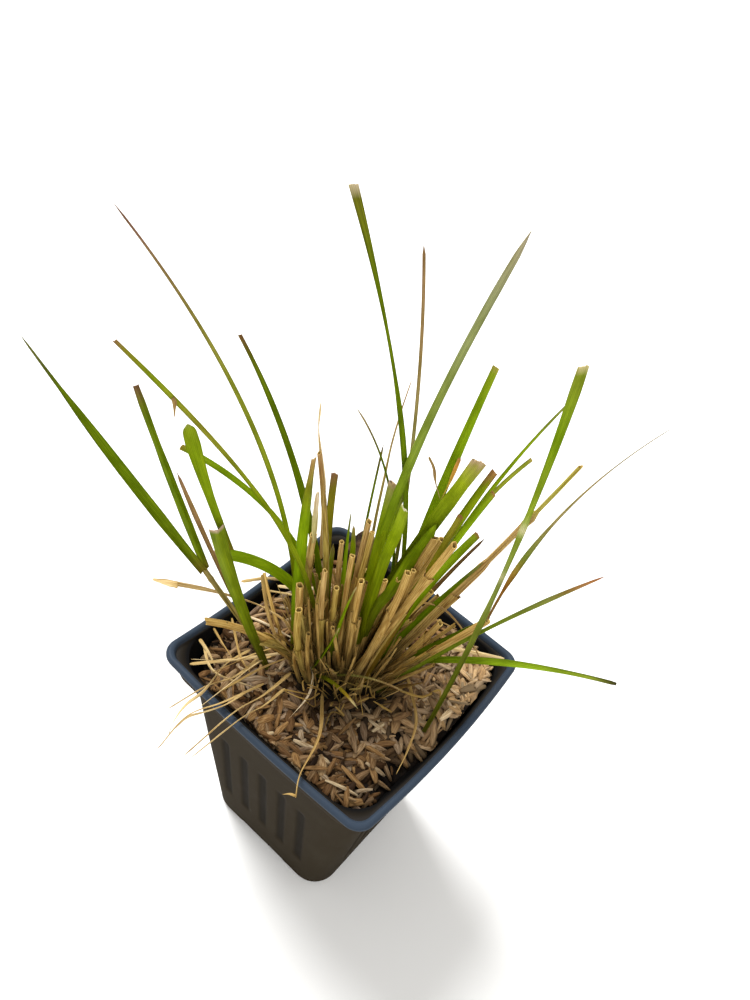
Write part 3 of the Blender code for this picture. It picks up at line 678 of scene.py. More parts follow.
@dataclass(frozen=True)
class Culm(Shoot):
    """One cut stem: a hollow straw, often with the torn remains of a leaf sheath round it."""

    width: float
    level: float = FOOT_LEVEL
    colours: Stops = STRAW
    sheath: float = 0.0
    nodes: tuple[float, ...] = ()
    widths: Widths = ((0.0, 1.0), (1.0, 0.94))
    slim: float = 1.0

    STEPS = 30
    SIDES = 18
    CUT = "#d8c078"
    SHEATHS = ("#a48334", "#94742e", "#b3934a", "#a98a4c", "#8f8034")

    def radius_at(self, share: float) -> float:
        """Work out the stem's radius.

        Args:
            share: the share of its length.

        Returns:
            The radius there, a little thicker at the joints.
        """
        slimmed = read_off(((0.0, 1.0), (0.5, (1 + self.slim) / 2), (1.0, self.slim)), share)
        radius = self.width * 0.43 * read_off(self.widths, share) * slimmed
        for node in self.nodes:
            radius *= 1 + 0.14 * bell((share - node) * self.length, 0.9)
        return radius

    def add_to(self, builder: MeshBuilder) -> None:
        """Add the stem, its bore, its uneven cut and its sheath.

        Args:
            builder: what gathers the piece.
        """
        chance = random.Random(self.name)
        points, directions = self.bent_line(self.level, self.STEPS)
        slant, turn, oval = chance.uniform(0.1, 0.5), chance.uniform(0, math.tau), chance.uniform(0.84, 1.0)
        for step, (point, direction) in enumerate(zip(points, directions)):
            share = step / self.STEPS
            tint = blend(self.colours, share)
            for node in self.nodes:
                tint = tint * (1 - 0.40 * bell((share - node) * self.length, 0.7))
            cut = slant if step == self.STEPS else 0.0
            ring = self.ring(point, direction, self.radius_at(share), oval, cut, turn)
            builder.add_ring(ring, tint, self.flat(share * self.length))
        brown, pale = blend(self.colours, 0.0), linear(self.CUT)
        top = self.radius_at(1.0)
        wall = min(0.30, top * 0.28)
        # painted shade: inside the bore the colour darkens with depth below the cut
        for depth, shrink, colour in ((0.0, 0.12, pale), (0.0, wall, pale), (0.6, wall + 0.05, pale * 0.7),
                                      (2.5, wall + 0.1, pale * 0.35), (7.0, wall + 0.15, brown * 0.4)):
            cut = slant if depth < 1 else 0.0
            centre = points[-1] - directions[-1] * depth
            ring = self.ring(centre, directions[-1], max(0.2, top - shrink), oval, cut, turn)
            builder.add_ring(ring, colour, self.flat(self.length - depth))
        builder.skin(self.SIDES)
        if self.sheath > 0:
            self.add_sheath(builder, points, directions, chance, oval)

    def flat(self, along: float) -> list[Pair]:
        """Return the flat coordinates of a ring, unrolled round the stem, in millimetres."""
        around = math.pi * self.width / self.SIDES
        return [(abs(side - self.SIDES / 2) * around, along) for side in range(self.SIDES)]

    def ring(self, centre: Vector, direction: Vector, radius: float, oval: float, slant: float,
             turn: float) -> list[Vector]:
        """Work out one ring of the stem, flattened a little, and slanted where it is cut.

        Args:
            centre: its middle.
            direction: which way the stem points.
            radius: its radius.
            oval: how flat it is.
            slant: how far the cut rises and falls.
            turn: the direction of the slant, in radians.

        Returns:
            The ring's points.
        """
        axes = level_axes(direction, math.radians(self.heading))
        ring = []
        for angle in (math.tau * side / self.SIDES for side in range(self.SIDES)):
            lift = slant * math.cos(angle - turn) + slant * 0.5 * math.cos(3 * angle + turn)
            crease = 1 + 0.03 * math.cos(5 * angle + turn)
            ring.append(oval_point(centre, axes, angle, radius * crease, oval) + direction * lift)
        return ring

    def add_sheath(self, builder: MeshBuilder, points: list[Vector], directions: list[Vector],
                   chance: random.Random, oval: float) -> None:
        """Wrap a thin torn sleeve round the stem's lower part.

        Args:
            builder: the piece's builder.
            points: the stem's middle line.
            directions: its directions.
            chance: the stem's own source of chance.
            oval: how flat the stem is.
        """
        last = max(4, int(self.STEPS * self.sheath))
        turn, gape = chance.uniform(0, math.tau), chance.uniform(0.05, 0.5)
        colour = linear(chance.choice(self.SHEATHS))
        for step, lift in [(n, 0.16) for n in range(last + 1)] + [(n, 0.06) for n in range(last, -1, -1)]:
            share = step / self.STEPS
            near_top = max(0.0, (step - last + 5) / 5)
            axes = level_axes(directions[step], math.radians(self.heading))
            radius = (self.radius_at(share) + lift) * (1 + gape * near_top * near_top)
            ring = []
            for angle in (math.tau * side / self.SIDES for side in range(self.SIDES)):
                torn = noise.noise(Vector((math.cos(angle), math.sin(angle), turn)) * 1.6)
                tear = near_top * (4.5 * math.cos((angle - turn) / 2) ** 12 + 1.4 * torn)
                ring.append(oval_point(points[step], axes, angle, radius, oval) - directions[step] * tear)
            # painted shade: the sheath darkens towards the foot, to about a fifth at the bottom
            tint = colour * read_off(((0.0, 0.22), (0.2, 0.6), (0.5, 1.0)), share)
            builder.add_ring(ring, tint, [(u + 7.0, v) for u, v in self.flat(share * self.length)])
        builder.skin(self.SIDES, looped=True)


@dataclass(frozen=True)
class ThinCulm(Culm):
    """A thin dry stalk in the thick of the clump, with fewer faces."""

    STEPS = 14
    SIDES = 10
    CUT = "#6e5428"


@dataclass(frozen=True)
class Strand(Piece):
    """A loose dead strand: the points that it passes through, its width, and how flat and twisted it is."""

    points: Sequence[Sequence[float]]
    width: float
    tip: float = 0.4
    flatness: float = 0.4
    twist: float = 120.0
    colours: Stops = ((0.0, "#a98f62"), (0.5, "#d3bd8e"), (1.0, "#cdb78d"))

    STEPS = 30
    SIDES = 8

    def add_to(self, builder: MeshBuilder) -> None:
        """Add the strand as an uneven, flattened and twisted thread.

        Args:
            builder: what gathers the piece.
        """
        path = smooth_path(self.points, self.STEPS)
        length = sum((b - a).length for a, b in zip(path, path[1:]))
        seed = self.points[0][0] * 1.7 + self.points[-1][1]
        for step, point in enumerate(path):
            share = step / self.STEPS
            ahead = along_path(path, step)
            axes = level_axes(ahead.normalized(), math.atan2(ahead.y, ahead.x), self.twist * share)
            radius = self.width / 2 * (1 - (1 - self.tip) * share**2)
            radius *= 1 + 0.25 * noise.noise(Vector((share * 6, seed, 0.0)))
            if step in (0, self.STEPS):
                radius *= 0.5
            ring = [oval_point(point, axes, math.tau * side / self.SIDES, radius, self.flatness)
                    for side in range(self.SIDES)]
            flat = [(abs(side - 4) * radius * 0.8, share * length) for side in range(self.SIDES)]
            builder.add_ring(ring, blend(self.colours, share), flat)
        builder.skin(self.SIDES)




GREEN_CULM: Stops = ((0.0, "#46460e"), (0.3, "#5f5c1c"), (0.7, "#626024"), (1.0, "#7c7a4c"))
JOINTED: Stops = ((0.0, "#5a4416"), (0.2, "#7d6230"), (0.5, "#a08252"), (0.77, "#ab9060"),
                  (0.79, "#8f9432"), (0.9, "#95a02c"), (1.0, "#a3a03a"))
PAPERY: Stops = ((0.0, "#5a4416"), (0.25, "#8e7340"), (0.6, "#b0945c"), (1.0, "#bda66c"))
DARK_TOPPED: Stops = ((0.0, "#4f3a14"), (0.2, "#7a6a1c"), (0.55, "#8a8224"), (0.85, "#8a7038"),
                      (0.93, "#7a4e2e"), (1.0, "#a4805c"))

BLADES: tuple[Blade, ...] = (
    Blade("leaf_broad_left", (-44.9, -26.4), 225, 29.5, -2, -2.5, 97.2, ((0, 2.6), (0.28, 3.4), (0.5, 3.1),
          (0.62, 2.7), (0.73, 2.0), (0.82, 1.1), (0.98, 0.5)), -60, End.POINTED, DEEP, 0.2, "#6a6a3c",
          129.0),
    Blade("leaf_dark_cut_left", (-44.7, -25.4), 245, 15.5, -1.5, 6.5, 82, ((0, 2.4), (0.3, 2.7),
          (0.6, 2.3), (0.73, 1.8), (0.92, 1.9), (1, 1.5)), 80, End.BROWNED, DEEP, 0.3, "#6b4a3a", 129.2),
    Blade("leaf_browned_left", (-25.5, -27), 225, 20, -2.5, -0.5, 65, ((0, 1.3), (0.5, 1.3), (0.75, 1.5),
          (0.93, 1.0), (1, 0.6)), -70, End.POINTED, ((0.0, "#66701c"), (0.25, "#8a6a46"),
          (1.0, "#9a7656")), 0.3, "#8b6a50", 124.4),
    Blade("leaf_rounded_left", (-28.5, -32), 225, 18, -5.5, -0.5, 48, ((0, 2.0), (0.25, 2.2), (0.47, 2.4),
          (0.67, 3.1), (0.87, 3.9), (1, 3.4)), -75, End.ROUNDED, FRESH, 0.25, "#8a9048", 157.8),
    Blade("leaf_folded_front", (-18.5, -19.5), 240, 18, -6, -0.5, 78, ((0, 2.2), (0.3, 3.2), (0.65, 3.8),
          (0.75, 4.1), (1, 4.2)), 85, End.CUT, SUNK, 0.5, "#c3a49a", MULCH_LEVEL + 0.9),
    Blade("leaf_banded_right", (35.5, -0.5), 81.5, 12, 2.5, 45, 142, ((0, 1.4), (0.3, 1.7), (0.4, 2.0),
          (0.47, 1.4), (0.57, 1.5), (0.65, 2.1), (0.68, 1.6), (0.8, 2.2), (0.95, 3.0), (1, 2.7)),
          0, End.TORN, ((0.0, "#4c4a14"), (0.25, "#5c6418"), (0.42, "#747e34"), (0.5, "#84904a"),
          (0.7, "#8ea22e"), (0.85, "#74920e"), (1.0, "#8a9432")), 0.25, "#d8c79c", MULCH_LEVEL - 1.0,
          marks=((0.645, 1.6, "#d9cfa8"), (0.52, 2.0, "#b9b58a"))),
    Blade("shoot_thin_right", (34.5, 19), 43.5, 3, 34, -2.5, 88, ((0, 0.8), (0.15, 0.9), (0.25, 1.8),
          (0.35, 1.7), (0.5, 0.9), (0.67, 0.55), (0.8, 0.3), (1, 0.2)), 50, End.POINTED, ((0.0, "#8a6a3c"),
          (0.18, "#a06a30"), (0.24, "#a8803a"), (0.34, "#7e8a3a"), (0.5, "#a39460"), (0.75, "#b7a27a"),
          (1.0, "#bca88a")), 0.2, "#bca88a", 141.2),
    Blade("leaf_tall_left", (-16, -7.5), 229.5, 5, 36, -17, 170.5, ((0, 1.6), (0.4, 1.5), (0.55, 1.5),
          (0.7, 1.2), (0.85, 0.8), (1, 0.45)), -75, End.POINTED, ((0.0, "#5a4210"), (0.2, "#76790c"),
          (0.4, "#7d8e0c"), (0.7, "#84882e"), (0.86, "#8c7a48"), (1.0, "#94705e")), 0.2, "#8f6a5c"),
    Blade("leaf_long_cut_left", (-12, -0.5), 265, 11, 39.5, -57, 148, ((0, 1.6), (0.5, 1.5), (0.65, 1.1),
          (0.8, 1.3), (0.88, 1.4), (1, 1.0)), -75, End.CUT, ((0.0, "#6e5e22"), (0.2, "#7f8c1a"),
          (0.6, "#7a890e"), (0.8, "#8c8830"), (0.92, "#82901a"), (1.0, "#8a7a30")), 0.2, "#8f6a4a"),
    Blade("leaf_arching_left", (-13, 3.5), 213, 9, 58, 4, 101, ((0, 1.5), (0.6, 1.6), (0.83, 1.9),
          (1, 1.8)), -60, End.CUT, BRIGHT, 0.25, "#98803a"),
    Blade("leaf_folded_left", (-15.5, 0.5), 216, 7, 77, 15, 64, ((0, 2.2), (0.3, 3.5), (1, 3.7)),
          -60, End.CUT, BRIGHT, 0.4, "#d5b09c"),
    Blade("leaf_dark_left", (-15, 7), 172, 18, 37, 3, 112, ((0, 1.8), (0.3, 2.5), (0.5, 2.6), (0.6, 2.2),
          (0.8, 1.9), (0.92, 1.4), (1, 1.3)), -35, End.BROWNED, DEEP, 0.25, "#6f4a34"),
    Blade("shoot_browned_back", (-13.5, 5.5), 192, 10, -8, 1, 77, ((0, 2.9), (1, 2.2)),
          -65, End.BROWNED, WOODY, 0.3, "#8c6450"),
    Blade("leaf_broad_inner", (-16.5, -9.5), 237, 3.4, 2.2, 73, 99, ((0, 2.2), (0.3, 3.7), (0.6, 3.4),
          (0.83, 2.7), (0.93, 1.7), (1, 1.5)), 40, End.CUT, ((0.0, "#5e5a10"), (0.3, "#74920a"),
          (0.75, "#7f9a0c"), (0.88, "#7c7a1e"), (1.0, "#a07a4e")), 0.3, "#ac8b5d"),
    Blade("leaf_tallest", (3.5, 20.5), 238, 3.2, 26.5, -52, 169, ((0, 1.5), (0.4, 1.7), (0.57, 1.8),
          (0.63, 1.6), (0.7, 1.0), (0.78, 0.9), (0.85, 1.2), (0.93, 1.8), (1, 2.4)),
          -60, End.CUT, DEEP, 0.2, "#cdb9a0"),
    Blade("leaf_reddish_thin", (4, 14), 128, 21, 22.5, 13.5, 142, ((0, 1.4), (1, 1.1)),
          0, End.POINTED, RUSTY, 0.2, "#8e6a54"),
    Blade("leaf_faded_right", (-4, 11), 48, -3, 23, 23, 163, ((0, 2.2), (0.4, 2.8), (0.55, 2.7),
          (0.63, 2.4), (0.7, 2.2), (0.9, 2.1), (0.96, 1.7), (0.99, 1.0), (1, 0.6)), 55, End.ROUNDED, FADED,
          0.2, "#a99a88"),
    Blade("leaf_striped_right", (5, 12), 101, 8.5, 14, -4, 117, ((0, 2.2), (0.4, 3.5), (0.62, 3.4),
          (0.73, 3.1), (0.9, 2.5), (1, 2.2)), 0, End.CUT, BRIGHT, 0.25, "#a89a50"),
    Blade("leaf_thin_back", (7.5, 14), 83, 13, 32, -10, 117, ((0, 1.4), (0.7, 1.3), (0.8, 1.0),
          (0.92, 0.8), (1, 0.5)), 0, End.POINTED, FRESH, 0.2, "#8a8a50"),
    Blade("leaf_curved_back", (9.5, 14.5), 108, 23, 30.5, -39, 89, ((0, 1.6), (1, 1.5)),
          0, End.CUT, ((0.0, "#7a5c1c"), (0.35, "#94733c"), (0.6, "#9c8a4e"), (0.8, "#84892a"),
          (1.0, "#82872e")), 0.2, "#a08a50"),
    Blade("leaf_torn_right", (-4, 4), 40, 12, 4, 1, 102, ((0, 2.4), (0.4, 4.0), (0.7, 4.0), (0.82, 4.3),
          (0.9, 3.9), (1, 4.3)), 60, End.TORN, ((0.0, "#46480a"), (0.3, "#56650a"), (0.5, "#687c08"),
          (0.75, "#768a10"), (0.9, "#9aaa1e"), (1.0, "#a49458")), 0.3, "#c5a790"),
    Blade("leaf_browned_right", (5.5, 16), 96, 25.5, 14.5, -11.5, 77, ((0, 2.2), (0.4, 3.3), (0.75, 3.1),
          (1, 2.6)), 0, End.BROWNED, ((0.0, "#6a4a1c"), (0.3, "#80682c"), (0.5, "#66700e"),
          (0.9, "#76860e"), (1.0, "#7a6d2a")), 0.3, "#9a6a48"),
    Blade("leaf_short_right", (7, 6.5), 43, 8.5, 14.5, -3, 77, ((0, 1.9), (0.5, 2.2), (0.85, 2.6),
          (1, 2.2)), 55, End.CUT, BRIGHT, 0.3, "#9a6a4a"),
    Blade("leaf_reddened_right", (14, 1), 27, 26, 10.5, -0.5, 99, ((0, 1.3), (0.6, 1.2), (0.8, 1.5),
          (0.9, 1.1), (1, 0.5)), 50, End.POINTED, ((0.0, "#4e5620"), (0.3, "#67751a"), (0.6, "#6c7c20"),
          (0.85, "#86884a"), (1.0, "#b09070")), 0.25, "#b06a42"),
    Blade("leaf_low_right", (9, 12), 3, 38, 37.5, 14, 87, ((0, 1.8), (0.3, 2.2), (0.55, 2.3), (0.65, 2.1),
          (0.75, 1.7), (0.85, 1.3), (0.98, 1.2), (1, 0.9)), 45, End.BROWNED, ((0.0, "#6d5a22"),
          (0.3, "#6c8416"), (0.7, "#7f9a1e"), (1.0, "#7c8432")), 0.25, "#46402a"),
)

SMALL_BLADES: tuple[Blade, ...] = (
    Blade("sheath_torn_middle", (0, 0), 131.9, 0, 0, 0, 75, ((0, 2.0), (0.25, 3.4), (0.6, 4.8),
          (0.85, 5.6), (0.96, 6.0), (1, 6.0)), 169, End.TORN, ((0.0, "#4a4408"), (0.3, "#6e7a06"),
          (0.6, "#82960a"), (0.85, "#8ea618"), (1.0, "#aaa068")), 0.45, "#c9a699", path=((1.6, 1.8, 99),
          (1.7, 0.3, 122), (-3.2, 8.6, 148), (-5.9, 13.9, 173))),
    Blade("sheath_torn_beside", (0, 0), 65.4, 0, 0, 0, 76, ((0, 1.8), (0.3, 3.0), (0.7, 3.6), (0.9, 3.0),
          (1, 2.6)), -129, End.TORN, ((0.0, "#4a4408"), (0.3, "#5e6a04"), (0.7, "#7c900a"),
          (1.0, "#93a42c")), 0.35, "#efe6d6", path=((2.5, 2.2, 102), (4, -1.7, 133), (4.8, -2, 157),
          (4.7, 1.3, 170), (3.5, 4.3, 177))),
    Blade("leaf_dark_front", (0, 0), 55.4, 0, 0, 0, 66, ((0, 1.6), (0.3, 3.2), (0.6, 3.8), (0.8, 2.6),
          (1, 0.4)), -130, End.POINTED, ((0.0, "#3f3f08"), (0.3, "#56640a"), (0.7, "#667c08"),
          (1.0, "#708610")), 0.3, "#708610", path=((2.2, 2.6, 106), (6.4, -1.8, 135.5), (7.8, 1.6, 144),
          (7.7, 8.9, 152.5), (10.2, 11.5, 165), (10.1, 14, 168))),
    Blade("leaf_green_between_6", (0, 0), 136.2, 0, 0, 0, 60, ((0, 1.4), (0.4, 2.4), (0.8, 1.6), (1, 0.8)),
          167, End.POINTED, FRESH, 0.3, "#a08a58", path=((-5.5, -2.6, 99), (-6.3, -0.1, 128),
          (-8.2, 1.6, 145), (-11.1, 2.8, 158))),
    Blade("leaf_green_between_7", (0, 0), 99.1, 0, 0, 0, 42, ((0, 1.2), (0.4, 1.8), (1, 0.8)),
          -165, End.POINTED, BRIGHT, 0.3, "#a08a58", path=((-1, -1.9, 98), (0.7, 0.8, 112),
          (-1.6, 5.1, 128), (-3, 10.2, 138))),
    Blade("leaf_small_back_2", (3, 13), 119, 3.5, 49.5, 67, 96, ((0, 1.1), (1, 0.6)),
          0, End.POINTED, DEEP, end_colour="#a08868"),
    Blade("leaf_small_back_3", (-6, 6), 133, 19, -1, -11, 80, ((0, 1.2), (1, 0.7)), 0, End.POINTED, FRESH,
          end_colour="#8a7050"),
    Blade("leaf_small_right_1", (8, 10), 80, 13, 19, -7, 80, ((0, 1.6), (0.4, 2.5), (1, 2.2)),
          0, End.CUT, BRIGHT, 0.3, "#9a6a4a"),
    Blade("leaf_small_right_2", (8.5, 0), 54, 10.5, 0.5, 8.5, 84, ((0, 1.4), (0.4, 2.2), (1, 1.8)),
          50, End.CUT, WOODY, 0.3, "#8a5a40"),
    Blade("leaf_tip_back", (-8, 6), 140, 34.5, 9.5, -12, 49, ((0, 2.2), (0.5, 1.7), (1, 0.4)),
          0, End.POINTED, BRIGHT, end_colour="#8a7a50"),
    Blade("leaf_tip_front", (-3.5, -5), 304, 5, 9, 24.5, 58, ((0, 1.9), (0.6, 1.5), (1, 0.4)),
          30, End.POINTED, FRESH),
    Blade("leaf_thin_front", (-7, -11.5), 353, 17.5, -10.5, 10.5, 36, ((0, 1.8), (0.6, 1.5), (1, 0.5)),
          30, End.POINTED, FRESH, level=96.0),
    Blade("leaf_yellow_front", (-5, -10.5), 344, 38, 61, 5, 27, ((0, 1.2), (0.6, 1.2), (1, 0.7)),
          40, End.POINTED, ((0.0, "#56600e"), (0.5, "#8a8c1c"), (0.8, "#b08f30"), (1.0, "#c9b080")),
          0.25, "#d8c8a0", 96.0),
    Blade("leaf_lying_front", (-3, -9.5), 14, 39.5, 57.5, 2, 35, ((0, 0.9), (1, 0.5)),
          40, End.POINTED, RUSTY, level=96.0),
    Blade("leaf_green_between_1", (-9, 8), 20, 4, 6, 10, 58, ((0, 2.0), (0.5, 2.4), (1, 1.2)),
          55, End.POINTED, FRESH, end_colour="#8a8a50"),
    Blade("leaf_green_between_2", (1, 12), 60, 14, 8, -8, 62, ((0, 1.8), (0.5, 2.2), (1, 1.0)),
          50, End.POINTED, BRIGHT, end_colour="#8a8a50"),
    Blade("leaf_green_between_3", (6, 9), 50, 22, 12, 6, 60, ((0, 1.6), (0.5, 2.0), (1, 0.9)),
          50, End.POINTED, DEEP, end_colour="#8a8a50"),
    Blade("leaf_green_between_4", (-12, 2), 190, 6, -4, 20, 52, ((0, 2.0), (0.5, 2.2), (1, 1.2)),
          -60, End.POINTED, FRESH, end_colour="#8a7a50"),
    Blade("leaf_green_between_5", (10, 6), 30, 30, 10, 8, 52, ((0, 1.6), (0.5, 1.9), (1, 0.9)),
          50, End.POINTED, DEEP, end_colour="#8a7a50"),
    Blade("leaf_brown_strip", (5, 10), 62, 20, 10, -6, 66, ((0, 1.6), (0.6, 1.6), (1, 0.8)),
          50, End.POINTED, ((0.0, "#5a421c"), (0.5, "#7a5a34"), (1.0, "#6d4f38")), 0.3, "#6d4f38"),
)

CULMS: tuple[Culm, ...] = (
    Culm("culm_forked_left", (-21.5, -15.5), 205, 37.5, -1.5, -3.5, 43, 2.4, MULCH_LEVEL + 1.1, GREEN_CULM,
         0.0, (0.9,)),
    Culm("culm_jointed_right", (9, 8.5), 70, 34, -13, -18, 103, 2.8, FOOT_LEVEL, JOINTED, 0.4, (0.77,),
         ((0.0, 1.05), (0.35, 1.25), (0.53, 1.35), (0.55, 0.85), (0.68, 0.85), (0.74, 1.0), (0.77, 1.2),
         (0.79, 0.6), (1.0, 0.55))),
    Culm("cut_stem_01", (-8.5, -10.5), 229, 13, -9.5, 0, 48, 3.2, sheath=0.6),
    Culm("cut_stem_02", (-5.5, -12.5), 249, 20, -20, 0, 45, 3.0, sheath=0.55, slim=0.9, colours=OLIVE),
    Culm("cut_stem_03", (-11, -5.5), 196, 12.5, -13.5, 0, 61, 3.1, FOOT_LEVEL, PAPERY, 0.85, (0.62,),
         slim=0.95),
    Culm("cut_stem_04", (-7, -6), 243, 11.5, -13, 0, 49, 3.0, sheath=0.7, slim=0.77, colours=OLIVE),
    Culm("cut_stem_05", (-4, -8), 244, 9, -6, 0, 59, 3.0, sheath=0.6, slim=0.7, colours=PINKISH),
    Culm("cut_stem_06", (-10, 0), 209, 5.5, 7, 1, 92, 2.6, FOOT_LEVEL, DARK_TOPPED, 0.0, (0.8,),
         ((0.0, 1.1), (0.6, 1.0), (0.85, 0.8), (1.0, 0.7)), slim=0.95),
    Culm("cut_stem_07", (-6, -2.5), 285, 10, -1.5, 0, 51, 2.8, sheath=0.7, slim=0.75, colours=OLIVE),
    Culm("cut_stem_08", (-6.5, 1.5), 216, 7, -3.5, 0, 59, 3.0, sheath=0.6, nodes=(0.7,),
         slim=0.67, colours=PINKISH),
    Culm("cut_stem_09", (1.5, -1), 269, 8, -6.5, 0, 55, 3.0, sheath=0.65, slim=0.77, colours=GOLDEN),
    Culm("cut_stem_10", (-2, -2), 106, 2, -0.5, 0, 69, 2.6, sheath=0.7, slim=0.75, colours=OLIVE),
    Culm("cut_stem_11", (-3, 1), 164, 4, -4.5, 0, 70, 3.0, sheath=0.6, slim=0.75, colours=PINKISH),
    Culm("cut_stem_12", (2, 2.5), 335, 4, 0, 0, 53, 3.0, sheath=0.7, slim=0.83, colours=GOLDEN),
    Culm("cut_stem_13", (1, 6), 350, 6, 3.5, 0, 53, 2.8, sheath=0.5, slim=0.75, colours=OLIVE),
    Culm("cut_stem_14", (6.5, 4), 35, 8.5, -8, 0, 58, 3.0, sheath=0.75, slim=0.83, colours=GOLDEN),
    Culm("cut_stem_15", (4, 7), 35, 5.5, 5.5, 0, 70, 3.0, sheath=0.8, slim=0.95),
    Culm("cut_stem_16", (-3, 7), 44, 22, -12, 0, 65, 3.0, sheath=0.6, colours=GOLDEN),
    Culm("cut_stem_17", (0.5, 13), 84, 36, -4, 0, 51, 3.0, sheath=0.7, slim=0.95),
    Culm("cut_stem_18", (5.5, -0.5), 32, 10.5, 5, 0, 78, 3.0, sheath=0.8, slim=0.95, colours=GOLDEN),
    Culm("cut_stem_19", (0.5, 9), 27, 21, -2, 0, 46, 3.0, sheath=0.6, slim=0.9, colours=OLIVE),
    Culm("cut_stem_leaning_right", (11, 1.5), 36, 35, -5, 1, 54, 3.2, sheath=0.6),
    Culm("cut_stem_frayed_right", (11, 5.5), 47, 28, -8, 1, 36, 2.8, sheath=0.8),
    Culm("cut_stem_arching_left", (-11.5, -9), 226, 39, 35.5, 4, 43, 3.0, sheath=0.5),
)

SMALL_CULMS: tuple[Culm, ...] = (
    Culm("cut_stem_thin_1", (0, -4), 196, 6, -4.5, 0, 61, 2.2),
    Culm("cut_stem_thin_2", (-9.5, 3.5), 85, 13, -1.5, -1, 38, 2.6),
    Culm("cut_stem_thin_3", (5.5, -4), 32, 11, -9, 0.5, 64, 2.8, sheath=0.7),
    Culm("cut_stem_thin_4", (-11.5, -13.5), 159, 73, -4.5, -9.5, 37, 1.6),
    Culm("cut_stem_thin_5", (2.5, -4), 237, 14, 0, 0, 33, 1.8),
)

STRANDS: tuple[Strand, ...] = (
    Strand("straw_left_1", ((-23, -18, 95.8), (-22, -32, 99), (-23, -43.5, 104.8), (-24, -58, 107)), 1.3),
    Strand("straw_left_2", ((-14, -26, 97.5), (-15, -43.5, 104.8), (-19, -55, 105), (-20, -66, 97)), 1.2),
    Strand("straw_left_3", ((-11, -16, 96.8), (-10, -30, 99.8), (-10, -44, 104.9), (-10, -64, 104)), 1.4),
    Strand("straw_left_4", ((-8, -22, 97), (-7, -33, 100.2), (-7, -44, 104.8), (-8, -63, 104)), 1.1),
    Strand("straw_front", ((2, -14, 97), (13, -28, 100.2), (19, -43.8, 105), (23, -50, 104)),
           1.3, 0.6, colours=TAN),
    Strand("straw_flat_tip", ((-13, -2, 97), (-30, -8, 106), (-43, -20, 114), (-56, -36, 122)),
           2.0, 1.0, 0.25),
)

